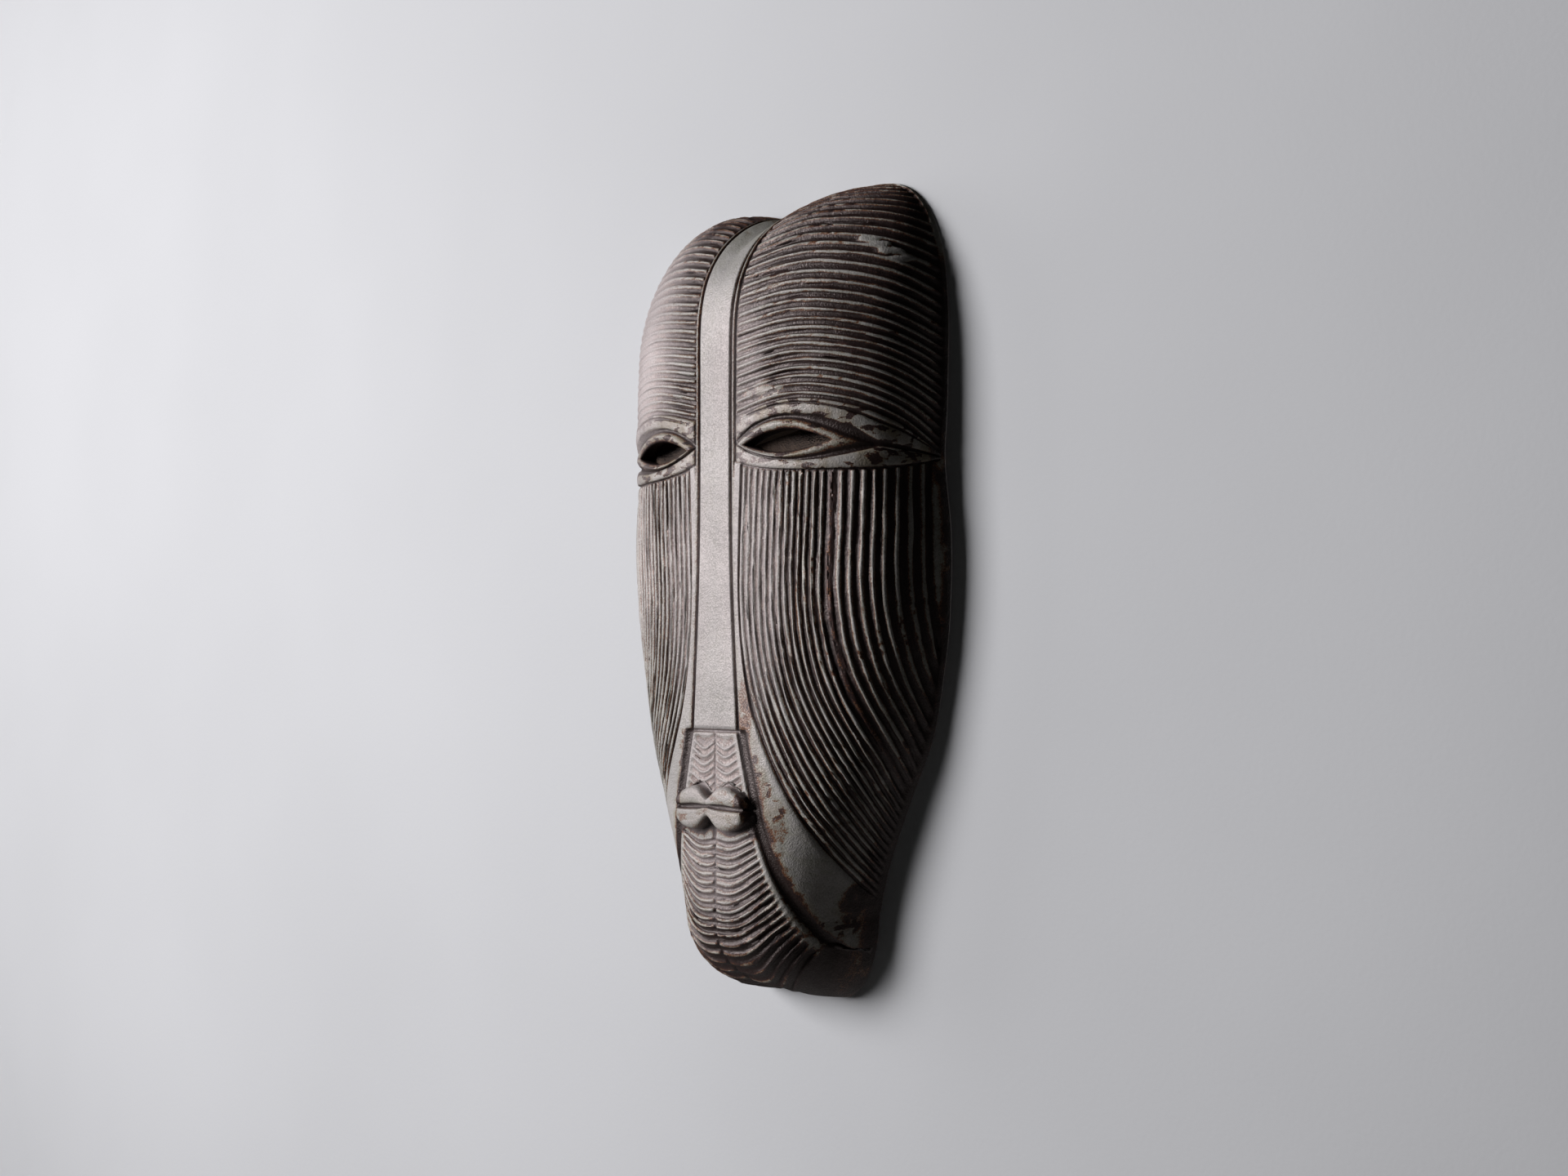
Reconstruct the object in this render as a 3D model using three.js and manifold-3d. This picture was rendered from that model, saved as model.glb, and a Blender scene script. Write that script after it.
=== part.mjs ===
// A wall mask of glazed stoneware: a hollow shell with an open, flat back rim, pierced eyes and
// combed ridges on forehead, cheeks and chin.
// Millimetres. X to the right, Z up, the face looks towards -Y and the wall is the plane Y = 0.
// The origin is on the flat back rim, in the cleft at the top, where the mask hangs.

import * as THREE from 'three';
import { mergeVertices } from 'three/addons/utils/BufferGeometryUtils.js';
import Module from 'manifold-3d';

// Overall form
const WALL = 7;
const FACE_DEPTH = 60.5;
const CENTRE_TOP = 3.5;
const LOBE_RISE = 11.2;
const LOBE_REACH = 46;
const LOBE_BLEND = 60;
const CROWN_TILT = 0.022;
const CROWN_TILT_START = -60;
const CROWN_TILT_BLEND = 70;
const CENTRE_BOTTOM = -354;
const CHIN_LOBE_DROP = 2.4;
const CHIN_LOBE_REACH = 22;
const CHIN_LOBE_BLEND = 30;

// The crown closes above this height and the chin closes below it.
const CROWN_START = -58;
const CROWN_FLAT = 45;
const CROWN_EXPONENT = 2.15;
const CROWN_CORNER_EXPONENT = 2.53;
const CROWN_LEVELS = 73;
const CROWN_STRETCH = 34;
const CHIN_START = -318;
const CHIN_FLAT = 25;
const CHIN_EXPONENT = 2.1;
const CHIN_CORNER_EXPONENT = 1.8;
const CHIN_LEVELS = 42;
const CHIN_STRETCH = 35;

// Half width of the outline and squareness of the cross-section, each at a height
const HALF_WIDTHS = [
  [-318, 45.2], [-302, 49.3], [-288, 54.2], [-263, 65.3], [-235, 78.1], [-204, 84.8],
  [-183, 87.6], [-147, 88.5], [-112, 85], [-90, 86.4], [-58, 87.2],
];
const SQUARENESS = [
  [-358, 2.2], [-318, 2.4], [-270, 2.6], [-222, 2.45], [-160, 2.7], [-104, 2.85], [-60, 2.7],
  [-20, 2.2], [15, 1.9],
];

// Ridges, and the smooth border that they end at, beside the rim
const GROOVE_DEPTH = 1.4;
const RIDGE_END = 0.03;
const RIM_BORDER = 2.6;
const RIM_BORDER_MOST = 0.2;
const RIM_BORDER_DEPTH = 8;
const TOP_BORDER_LEVELS = 1.4;
const BOTTOM_BORDER_LEVELS = 1;

// Nose band, from the cleft at the top to its square end over the upper lip, with a line, a narrow
// ridge and a second line beside it
const BAND_END = -232.4;
const BAND_HALF_WIDTHS = [[-232.4, 13.6], [-162, 9.8], [-104, 9.2], [-50, 9.4], [0, 9.8], [16, 9.8]];
const BAND_LINE = 1.2;
const BAND_RIDGE = 1.6;
const BAND_ROWS = 26;
const BESIDE_NOSE_START = -117;

// Forehead: the brow line is given by its height over the place across the face.
const FOREHEAD_RIDGES = 31;
const FOREHEAD_FINER = 0.12;
const FOREHEAD_STEPS = 9;
const BROW_LINE = [[0.08, -92.5], [0.3, -86.5], [0.45, -88], [0.66, -95], [0.87, -105.5], [1, -112]];

// Eyes: the line under the lower lid, the creases around the eye and the eye hole
const CHEEK_LINE = [
  [0.08, -113], [0.2, -116.8], [0.36, -118.8], [0.6, -118.8], [0.82, -116], [1, -112],
];
const LID_TIP = -112;
const LID_STEPS = 14;
const LID_TAIL_STEPS = 4;
const LID_CREST = 0.4;
const EYE_CENTRE = 40.8;
const EYE_HEIGHT = -106;
const EYE_HALF_LENGTH = 21.6;
const EYE_UPPER_RISE = 5.8;
const EYE_LOWER_DROP = 4.2;
const EYE_ROUNDNESS = 0.9;
const EYE_EDGE = 1.6;
const EYE_EDGE_LIFT = 0.2;
const EYE_STEPS = 14;
const EYE_CORNER_HEIGHT = -104.5;
const CREASE_END = 78;
const CREASE_END_HEIGHT = -108;
const UPPER_CREASE_RISE = 11.5;
const LOWER_CREASE_DROP = 7.6;
const CREASE_LEAN = 0.85;

// Cheeks
const CHEEK_RIDGES = 23;
const CHEEK_STEPS = 11;
const CHEEK_BEGINS = [
  [0, 0.129], [0.3, 0.298], [0.56, 0.445], [0.717, 0.578], [0.848, 0.717], [1, 0.965],
];
const CHEEK_FIRST_END = -310;
const CHEEK_LAST_END = -190;
const CHEEK_SWEEPS = [4.2, 3.8];
const CHEEK_LEANS = [0.026, 0.04];
const CHEEK_LEAN_REACH = [0.74, 1.1];
const CHEEK_BORDER_STEPS = 8;

// Line between the muzzle and the smooth crescent beside it, half width at a height
const MUZZLE_LINE = [
  [-333, 42.4], [-326, 40.3], [-308, 34.4], [-293, 29.4], [-274, 24.2], [-263, 22],
  [-248, 18.6], [-232.4, 14.8],
];
const MUZZLE_LINE_STEPS = 20;
const CRESCENT_STEPS = 4;
const CRESCENT_ROWS = 10;
const CRESCENT_MIDDLE_START = -222;

// Upper lip, mouth and chin: the lines of the lips are given by their height over the share of the
// way from the centre line to the muzzle line.
const MUZZLE_STEPS = [0, 0.1, 0.28, 0.46, 0.64, 0.82, 0.94, 1];
const UPPER_LIP = [
  [0, -263], [0.1, -261.2], [0.25, -258.1], [0.39, -256.8], [0.55, -257.2], [0.7, -258.8],
  [0.86, -260.6], [0.94, -262.2], [1, -265],
];
const MOUTH = [[0, -266.8], [1, -267.8]];
const LOWER_LIP = [
  [0, -272.2], [0.08, -273.2], [0.2, -276.2], [0.35, -278.4], [0.5, -278.9], [0.65, -278.5],
  [0.86, -276.2], [0.95, -273.6], [1, -270.8],
];
const LIP_REACH = [[0, 0.72], [0.15, 0.95], [0.4, 1], [0.8, 1], [0.92, 0.9], [0.97, 0.6], [1, 0]];
const NOSE_STEP = 1;
const LIP_STEP = 2.4;
const LIP_RIDGES = 5;
const LIP_SWELL = 5.4;
const LIP_CLEFT = 1;
const LIP_SAG = 2.6;

// Rows of the lips, as the share of the way down the lip and the share of its swell
const UPPER_LIP_ROWS = [[0.15, 0.65], [0.6, 1]];
const LOWER_LIP_ROWS = [[0, 0.35], [0.3, 1], [0.85, 0.65]];

// Chin ridges, and how the ridges of lip and chin hang between the centre line and the side
const CHIN_FIRST = -281;
const CHIN_FIRST_SIDE = -277.5;
const CHIN_RIDGES = 18;
const CHIN_LAST = -354;
const CHIN_LAST_SIDE = -329;
const CHIN_SAG = 1.6;
const CHIN_CLEFT = 1.6;
const CHIN_BORDER_STEPS = 6;
const CHIN_CENTRE_DIP = 0.5;
const GARLAND_RISE = 2.2;
const GARLAND_REACH = 1.1;
const GARLAND_ROUNDNESS = 1.5;

// Rim, hollow and how far a cutting form stands past the wall plane
const RIM_TOP_STEPS = 8;
const RIM_SIDE_STEPS = 44;
const RIM_BOTTOM_STEPS = 6;
const HOLLOW_ROWS = 26;
const HOLLOW_COLUMNS = 8;
const BEHIND_WALL = 2;
const EYE_CUT_START = 20;
const EYE_CUT_DEPTH = 60;

// Steps for the direction of the surface, and how close points count as one
const ACROSS_STEP = 0.002;
const LEVEL_STEP = 0.02;
const POINTS_PER_MM = 1000;
const ON_CENTRE = 0.0005;

const CLAY = new THREE.MeshStandardMaterial({ color: 0x6f625c, roughness: 0.42, metalness: 0 });

const RIGHT_ANGLE = Math.PI / 2;

function between(a, b, t) {
  return a + (b - a) * t;
}

function ease(t) {
  const u = Math.min(1, Math.max(0, t));
  return u * u * (3 - 2 * u);
}

// A smooth curve through a few pairs of place and value
function through(pairs) {
  const count = pairs.length;
  const slopes = pairs.map((pair, i) => {
    const before = pairs[Math.max(0, i - 1)];
    const after = pairs[Math.min(count - 1, i + 1)];
    return (after[1] - before[1]) / (after[0] - before[0]);
  });
  return (place) => {
    const p = Math.min(pairs[count - 1][0], Math.max(pairs[0][0], place));
    let i = 0;
    while (i < count - 2 && p > pairs[i + 1][0]) {
      i += 1;
    }
    const span = pairs[i + 1][0] - pairs[i][0];
    const t = (p - pairs[i][0]) / span;
    const rise = t * t * (3 - 2 * t);
    const value = between(pairs[i][1], pairs[i + 1][1], rise);
    return value + span * (t * (1 - t) * (1 - t) * slopes[i] - t * t * (1 - t) * slopes[i + 1]);
  };
}

const halfWidthAt = through(HALF_WIDTHS);
const squarenessAt = through(SQUARENESS);
const bandHalfWidthAt = through(BAND_HALF_WIDTHS);
const browAt = through(BROW_LINE);
const cheekLineAt = through(CHEEK_LINE);
const cheekBeginAt = through(CHEEK_BEGINS);
const muzzleHalfWidthAt = through(MUZZLE_LINE);
const upperLipAt = through(UPPER_LIP);
const mouthAt = through(MOUTH);
const lowerLipAt = through(LOWER_LIP);
const lipReachAt = through(LIP_REACH);

// The point of a rounded square of the given squareness in a direction
function roundedSquare(angle, squareness) {
  const s = Math.sin(angle);
  const c = Math.cos(angle);
  const r = 1 / (s ** squareness + c ** squareness) ** (1 / squareness);
  return [r * s, r * c];
}

const TOP_LEVEL = CROWN_START + CROWN_LEVELS;
const BOTTOM_LEVEL = CHIN_START - CHIN_LEVELS;
const CROWN_RADIUS = CENTRE_TOP + LOBE_RISE - CROWN_START;
const CHIN_RADIUS = CHIN_START - (CENTRE_BOTTOM - CHIN_LOBE_DROP);

// How far a level is round the crown or the chin, as an angle
function closingAngle(excess, levels, stretch) {
  const part = excess / levels;
  return RIGHT_ANGLE * (excess + stretch * part * part) / (levels + stretch);
}

// Height, half width and depth of the cross-section at a level, for a form that lies inset inside
function sectionAt(level, inset) {
  if (level > CROWN_START) {
    const angle = closingAngle(level - CROWN_START, CROWN_LEVELS, CROWN_STRETCH);
    const [up, out] = roundedSquare(Math.min(RIGHT_ANGLE, angle), CROWN_EXPONENT);
    const corner = Math.max(0, 1 - up ** CROWN_CORNER_EXPONENT) ** (1 / CROWN_CORNER_EXPONENT);
    return {
      z: CROWN_START + (CROWN_RADIUS - inset) * up,
      halfWidth: between(CROWN_FLAT, halfWidthAt(CROWN_START), corner) - inset,
      depth: (FACE_DEPTH - inset) * out,
    };
  }
  if (level < CHIN_START) {
    const angle = closingAngle(CHIN_START - level, CHIN_LEVELS, CHIN_STRETCH);
    const [down, out] = roundedSquare(Math.min(RIGHT_ANGLE, angle), CHIN_EXPONENT);
    const corner = Math.max(0, 1 - down ** CHIN_CORNER_EXPONENT) ** (1 / CHIN_CORNER_EXPONENT);
    return {
      z: CHIN_START - (CHIN_RADIUS - inset) * down,
      halfWidth: between(CHIN_FLAT, halfWidthAt(CHIN_START), corner) - inset,
      depth: (FACE_DEPTH - inset) * out,
    };
  }
  return { z: level, halfWidth: halfWidthAt(level) - inset, depth: FACE_DEPTH - inset };
}

// The cleft between the two lobes of the crown, and the shallow one under the chin
function cleft(x, z) {
  const top = LOBE_RISE * (1 - Math.min(1, Math.abs(x) / LOBE_REACH)) ** 2;
  const bottom = CHIN_LOBE_DROP * (1 - Math.min(1, Math.abs(x) / CHIN_LOBE_REACH)) ** 2;
  const topShare = ease(1 - (CENTRE_TOP + LOBE_RISE - z) / LOBE_BLEND);
  const bottomShare = ease(1 - (z - CENTRE_BOTTOM + CHIN_LOBE_DROP) / CHIN_LOBE_BLEND);
  return bottom * bottomShare - top * topShare;
}

// The crown stands a little higher on the right than on the left.
function tilt(point) {
  point.z += CROWN_TILT * point.x * ease((point.z - CROWN_TILT_START) / CROWN_TILT_BLEND);
  return point;
}

// A point of the smooth form: across runs from 0 at the centre line to 1 at the rim.
function smoothPoint(across, level, inset = 0) {
  const section = sectionAt(level, inset);
  const [side, front] = roundedSquare(across * RIGHT_ANGLE, squarenessAt(level));
  const x = section.halfWidth * side;
  const y = -section.depth * front;
  return new THREE.Vector3(x, across >= 1 ? 0 : y, section.z + cleft(x, section.z));
}

// The same point moved out along the surface's normal; negative lifts are carved in.
function liftedPoint(across, level, lift) {
  const point = smoothPoint(across, level);
  if (lift === 0) {
    return point;
  }
  const sideStep = across > 0.5 ? -ACROSS_STEP : ACROSS_STEP;
  const upStep = level > 0.5 * (TOP_LEVEL + BOTTOM_LEVEL) ? -LEVEL_STEP : LEVEL_STEP;
  const side = smoothPoint(across + sideStep, level).sub(point).multiplyScalar(Math.sign(sideStep));
  const up = smoothPoint(across, level + upStep).sub(point).multiplyScalar(Math.sign(upStep));
  const normal = side.cross(up).normalize();
  if (across === 0) {
    normal.x = 0;
    normal.normalize();
  }
  return point.addScaledVector(normal, lift);
}

// The place across the face that lies a given distance from the centre line
function acrossAt(x, level) {
  const section = sectionAt(level, 0);
  const n = squarenessAt(level);
  const part = Math.min(1, x / section.halfWidth);
  return Math.atan2(part, (1 - part ** n) ** (1 / n)) / RIGHT_ANGLE;
}

// The place across the face where the border strip of the rim begins
function borderAt(level) {
  const section = sectionAt(level, 0);
  const quarter = RIGHT_ANGLE * Math.max(RIM_BORDER_DEPTH, section.depth);
  return 1 - Math.min(RIM_BORDER_MOST, RIM_BORDER / quarter);
}

function bandEdgeAt(level) {
  return acrossAt(bandHalfWidthAt(level) + BAND_LINE + BAND_RIDGE + BAND_LINE, level);
}

// The place across the face of the muzzle line, or of the end of the ridges just inside it
function muzzleEdgeAt(level, inside = 0) {
  return Math.min(borderAt(level), acrossAt(muzzleHalfWidthAt(level) - inside, level));
}

const TOP_BORDER = TOP_LEVEL - TOP_BORDER_LEVELS;
const BOTTOM_BORDER = BOTTOM_LEVEL + BOTTOM_BORDER_LEVELS;

// The skin of the right half, as shared points and triangles
const points = [];
const triangles = [];
const known = new Map();

function pointIndex(vector) {
  const key = vector.toArray().map((value) => Math.round(value * POINTS_PER_MM)).join(' ');
  if (!known.has(key)) {
    known.set(key, points.length);
    points.push(vector);
  }
  return known.get(key);
}

function pin(across, level, lift = 0) {
  return pointIndex(liftedPoint(across, level, lift));
}

function addTriangle(a, b, c) {
  if (a !== b && b !== c && c !== a) {
    triangles.push([a, b, c]);
  }
}

// Fills the strip between two lines of points that run the same way, the second one on the left
// of the first as seen from the front. Each step takes the shorter diagonal.
function fill(first, second) {
  let i = 0;
  let j = 0;
  while (i < first.length - 1 || j < second.length - 1) {
    const canFirst = i < first.length - 1;
    const canSecond = j < second.length - 1;
    const byFirst = canFirst ? points[first[i + 1]].distanceTo(points[second[j]]) : Infinity;
    const bySecond = canSecond ? points[second[j + 1]].distanceTo(points[first[i]]) : Infinity;
    if (byFirst <= bySecond) {
      addTriangle(first[i], first[i + 1], second[j]);
      i += 1;
    } else {
      addTriangle(first[i], second[j + 1], second[j]);
      j += 1;
    }
  }
}

// Fills between rows that run to the right and follow each other downwards
function fillRows(rows) {
  for (let i = 0; i < rows.length - 1; i += 1) {
    fill(rows[i + 1], rows[i]);
  }
}

function firstOf(row) {
  return row[0];
}

function lastOf(row) {
  return row[row.length - 1];
}

// Steps along a ridge, close together at its two ends, where it rises from its surroundings
function ridgeSteps(count) {
  const steps = [0, RIDGE_END];
  for (let i = 1; i < count; i += 1) {
    steps.push(i / count);
  }
  steps.push(1 - RIDGE_END, 1);
  return steps;
}

// Nose band with the narrow ridge beside it, as rows from the crown down
function bandRow(level) {
  const half = bandHalfWidthAt(level);
  return [
    pin(0, level),
    pin(acrossAt(half, level), level),
    pin(acrossAt(half + BAND_LINE, level), level, -GROOVE_DEPTH),
    pin(acrossAt(half + BAND_LINE + BAND_RIDGE, level), level),
  ];
}

const bandLevels = [];
for (let i = 0; i <= BAND_ROWS; i += 1) {
  bandLevels.push(between(TOP_BORDER, BAND_END, i / BAND_ROWS));
}
const bandRows = bandLevels.map(bandRow);

// Forehead ridges, from the brow line up to the border of the crown; every second line is a groove.
const lidTip = pin(borderAt(LID_TIP), LID_TIP);
const foreheadLines = [];
for (let k = 0; k <= 2 * FOREHEAD_RIDGES; k += 1) {
  const part = k / (2 * FOREHEAD_RIDGES);
  const share = part * (1 + FOREHEAD_FINER * (1 - part * part));
  const levelAt = (across) => between(browAt(across), TOP_BORDER, share);
  const begin = bandEdgeAt(levelAt(BROW_LINE[0][0]));
  const end = borderAt(levelAt(1));
  const relief = k % 2 === 0 ? -GROOVE_DEPTH : 0;
  foreheadLines.push(ridgeSteps(FOREHEAD_STEPS).map((t) => {
    const across = between(begin, end, t);
    if (t === 0) {
      return pin(across, levelAt(across), -GROOVE_DEPTH);
    }
    return pin(across, levelAt(across), t === 1 || k === 2 * FOREHEAD_RIDGES ? 0 : relief);
  }));
}
const browRow = foreheadLines[0];
browRow[browRow.length - 1] = lidTip;
fillRows([...foreheadLines].reverse());

// A line of the lids between the inner corner and the outer one, by its height over x
function lidArc(start, end, heightAt, lift) {
  const arc = [];
  for (let i = 1; i < EYE_STEPS; i += 1) {
    const x = between(start, end, 0.5 - 0.5 * Math.cos(Math.PI * i / EYE_STEPS));
    const height = heightAt((x - start) / (end - start));
    arc.push(pin(acrossAt(x, height), height, lift));
  }
  return arc;
}

// The crease around the eye, and from its outer corner on to the tip of the lids
function creaseHeight(t, rise) {
  const base = between(EYE_CORNER_HEIGHT, CREASE_END_HEIGHT, t);
  return base + rise * Math.sin(Math.PI * t ** CREASE_LEAN);
}

const innerCorner = pin(bandEdgeAt(EYE_CORNER_HEIGHT), EYE_CORNER_HEIGHT, -GROOVE_DEPTH);
const outerCorner = pin(acrossAt(CREASE_END, CREASE_END_HEIGHT), CREASE_END_HEIGHT, -GROOVE_DEPTH);
const creaseTail = [];
for (let i = 1; i < LID_TAIL_STEPS; i += 1) {
  const t = i / LID_TAIL_STEPS;
  const across = between(acrossAt(CREASE_END, CREASE_END_HEIGHT), borderAt(LID_TIP), t);
  creaseTail.push(pin(across, between(CREASE_END_HEIGHT, LID_TIP, t), -GROOVE_DEPTH));
}

function creaseArc(rise) {
  const start = bandHalfWidthAt(EYE_CORNER_HEIGHT) + BAND_LINE + BAND_RIDGE + BAND_LINE;
  return lidArc(start, CREASE_END, (t) => creaseHeight(t, rise), -GROOVE_DEPTH);
}

const upperCrease = creaseArc(UPPER_CREASE_RISE);
const lowerCrease = creaseArc(-LOWER_CREASE_DROP);
const upperCreaseRow = [innerCorner, ...upperCrease, outerCorner, ...creaseTail, lidTip];
const lowerCreaseRow = [innerCorner, ...lowerCrease, outerCorner, ...creaseTail, lidTip];

// The raised edge around the eye, and the smooth surface inside it, which the eye hole goes through
const edgeFrom = EYE_CENTRE - EYE_HALF_LENGTH - EYE_EDGE;
const edgeTo = EYE_CENTRE + EYE_HALF_LENGTH + EYE_EDGE;
const edgeStart = pin(acrossAt(edgeFrom, EYE_HEIGHT), EYE_HEIGHT, EYE_EDGE_LIFT);
const edgeEnd = pin(acrossAt(edgeTo, EYE_HEIGHT), EYE_HEIGHT, EYE_EDGE_LIFT);

function eyeEdge(rise) {
  const heightAt = (t) => EYE_HEIGHT + rise * Math.sin(Math.PI * t) ** EYE_ROUNDNESS;
  return [edgeStart, ...lidArc(edgeFrom, edgeTo, heightAt, EYE_EDGE_LIFT), edgeEnd];
}

const upperEdge = eyeEdge(EYE_UPPER_RISE + EYE_EDGE);
const lowerEdge = eyeEdge(-EYE_LOWER_DROP - EYE_EDGE);
fill(lowerEdge, upperEdge);
fill(upperEdge, [innerCorner, ...upperCrease, outerCorner]);
fill([innerCorner, ...lowerCrease, outerCorner], lowerEdge);

// The two lids, each with a crest between its two lines
function lidCrest(aboveAt, belowAt, start, end) {
  const crest = [];
  for (let i = 1; i < LID_STEPS; i += 1) {
    const across = between(start, end, i / LID_STEPS);
    crest.push(pin(across, 0.5 * (aboveAt(across) + belowAt(across)), LID_CREST));
  }
  return crest;
}

function creaseLevel(across, rise) {
  const start = bandEdgeAt(EYE_CORNER_HEIGHT);
  const middle = acrossAt(CREASE_END, CREASE_END_HEIGHT);
  if (across > middle) {
    return between(CREASE_END_HEIGHT, LID_TIP, (across - middle) / (borderAt(LID_TIP) - middle));
  }
  return creaseHeight((across - start) / (middle - start), rise);
}

const lidStart = bandEdgeAt(EYE_CORNER_HEIGHT);
const lidEnd = borderAt(LID_TIP);
const upperLid = lidCrest(browAt, (a) => creaseLevel(a, UPPER_CREASE_RISE), lidStart, lidEnd);
const lowerLid = lidCrest((a) => creaseLevel(a, -LOWER_CREASE_DROP), cheekLineAt, lidStart, lidEnd);
const upperLidRow = [innerCorner, ...upperLid, lidTip];
const lowerLidRow = [innerCorner, ...lowerLid, lidTip];
fill(upperLidRow, [innerCorner, ...browRow]);
fill(upperCreaseRow, upperLidRow);
fill(lowerLidRow, lowerCreaseRow);

// Cheek ridges, from the line under the lower lid down and out to the rim
const cheekBandStart = bandEdgeAt(CHEEK_LINE[0][1]);
const cheekCorner = pin(cheekBandStart, cheekLineAt(cheekBandStart), -GROOVE_DEPTH);
const CHEEK_FROM = CHEEK_BEGINS[0][1];
const CHEEK_TO = CHEEK_BEGINS[CHEEK_BEGINS.length - 1][1];

// A point of a line down a cheek, straight at first and then outwards, t of the way along it
function cheekPlace(begin, t) {
  const part = (begin - CHEEK_FROM) / (CHEEK_TO - CHEEK_FROM);
  const level = between(cheekLineAt(begin), between(CHEEK_FIRST_END, CHEEK_LAST_END, part), t);
  const swept = between(begin, borderAt(level), t ** between(...CHEEK_SWEEPS, part));
  const reach = between(...CHEEK_LEAN_REACH, part);
  const lean = between(...CHEEK_LEANS, part) * Math.sin(Math.PI * Math.min(1, t / reach));
  return { across: swept - lean, level };
}

const cheekLines = [];
for (let j = 0; j < 2 * CHEEK_RIDGES; j += 1) {
  const begin = cheekBeginAt(j / (2 * CHEEK_RIDGES));
  const relief = j % 2 === 0 ? -GROOVE_DEPTH : 0;
  cheekLines.push(ridgeSteps(CHEEK_STEPS).map((t) => {
    const { across, level } = cheekPlace(begin, t);
    if (t === 0) {
      return pin(across, level, -GROOVE_DEPTH);
    }
    return pin(across, level, t === 1 ? 0 : relief);
  }));
}
for (let j = 0; j < cheekLines.length - 1; j += 1) {
  fill(cheekLines[j], cheekLines[j + 1]);
}
const cheekTops = cheekLines.map(firstOf);

// The place across the face of the innermost cheek ridge at a level
function firstCheekAt(level) {
  const top = cheekLineAt(CHEEK_FROM);
  return cheekPlace(CHEEK_FROM, (top - level) / (top - CHEEK_FIRST_END)).across;
}

fill([cheekCorner, ...cheekTops, lidTip], lowerLidRow);
const lastCheek = cheekLines[cheekLines.length - 1];

// Border points beside the outermost cheek ridge
const cheekBorder = [lidTip];
for (let i = 1; i < CHEEK_BORDER_STEPS; i += 1) {
  const level = between(LID_TIP, CHEEK_LAST_END, i / CHEEK_BORDER_STEPS);
  cheekBorder.push(pin(borderAt(level), level));
}
cheekBorder.push(lastOf(lastCheek));
fill(lastCheek, cheekBorder);

// The nose band down to its square end, and the line where forehead and crescent begin beside it
const foreheadStarts = foreheadLines.map(firstOf).reverse();
const besideNose = [];
for (const level of bandLevels) {
  if (level < BESIDE_NOSE_START) {
    besideNose.push(pin(bandEdgeAt(level), level));
  }
}
fill(bandRows.map(lastOf), [...foreheadStarts, innerCorner, cheekCorner, ...besideNose]);

// The muzzle: rows that run from its centre to the border strip beside the muzzle line
function muzzleRow(levelAt, liftAt) {
  return MUZZLE_STEPS.map((t) => {
    const edge = muzzleEdgeAt(levelAt(1), BAND_LINE);
    return pin(t * edge, levelAt(t), liftAt(t));
  });
}

// A row that hangs like a garland between the centre cleft and the border
function garland(centre, side, sag) {
  return (t) => {
    const hang = Math.sin(Math.PI * Math.min(1, t * GARLAND_REACH)) ** GARLAND_ROUNDNESS;
    return between(centre, side, t ** GARLAND_RISE) - sag * hang;
  };
}

function carved(relief, cleftDepth) {
  return (t) => {
    if (t === 0) {
      return -cleftDepth;
    }
    return t === 1 ? 0 : relief;
  };
}

const muzzleRows = [];
muzzleRows.push(muzzleRow(() => BAND_END, () => 0));
muzzleRows.push(muzzleRow(() => BAND_END - NOSE_STEP, () => -GROOVE_DEPTH));
for (let i = 0; i <= 2 * LIP_RIDGES; i += 1) {
  const f = i / (2 * LIP_RIDGES);
  const sagAt = garland(0, 0, LIP_SAG * Math.sin(Math.PI * f));
  const levelAt = (t) => between(BAND_END - LIP_STEP, upperLipAt(t) + BAND_LINE, f) + sagAt(t);
  muzzleRows.push(muzzleRow(levelAt, carved(i % 2 === 0 ? 0 : -GROOVE_DEPTH, LIP_CLEFT)));
}

// The lips: two humps over the mouth and two lobes under it
function lipRow(fromAt, toAt, share, swell) {
  const levelAt = (t) => between(fromAt(t), toAt(t), share);
  return muzzleRow(levelAt, (t) => swell * lipReachAt(t));
}

muzzleRows.push(muzzleRow(upperLipAt, () => -GROOVE_DEPTH));
for (const [share, swell] of UPPER_LIP_ROWS) {
  muzzleRows.push(lipRow(upperLipAt, mouthAt, share, swell * LIP_SWELL));
}
for (const [share, swell] of LOWER_LIP_ROWS) {
  muzzleRows.push(lipRow(mouthAt, lowerLipAt, share, swell * LIP_SWELL));
}
muzzleRows.push(muzzleRow(lowerLipAt, () => -GROOVE_DEPTH));

// Chin ridges, which hang lower and rise more steeply to the side the lower they are
for (let i = 0; i <= 2 * CHIN_RIDGES; i += 1) {
  const f = i / (2 * CHIN_RIDGES);
  const centre = between(CHIN_FIRST, CHIN_LAST, f);
  const side = between(CHIN_FIRST_SIDE, CHIN_LAST_SIDE, f);
  const relief = i % 2 === 0 ? 0 : -GROOVE_DEPTH;
  muzzleRows.push(muzzleRow(garland(centre, side, CHIN_SAG), carved(relief, CHIN_CLEFT)));
}
fillRows(muzzleRows);

// The last row of the band meets the first one of the muzzle.
const bandFoot = lastOf(bandRows);
fillRows([...bandRows.slice(0, -1), [...muzzleRows[0], ...bandFoot.slice(2)]]);

// The line that parts the muzzle from the crescent
const muzzleLine = [bandFoot[2]];
for (let i = 1; i < MUZZLE_LINE_STEPS; i += 1) {
  const level = between(BAND_END, MUZZLE_LINE[0][0], i / MUZZLE_LINE_STEPS);
  muzzleLine.push(pin(muzzleEdgeAt(level), level, -GROOVE_DEPTH));
}
const muzzleFoot = pin(borderAt(MUZZLE_LINE[0][0]), MUZZLE_LINE[0][0]);
const muzzleSides = muzzleRows.map(lastOf);
fill(muzzleSides, [...muzzleLine, muzzleFoot]);

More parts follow.
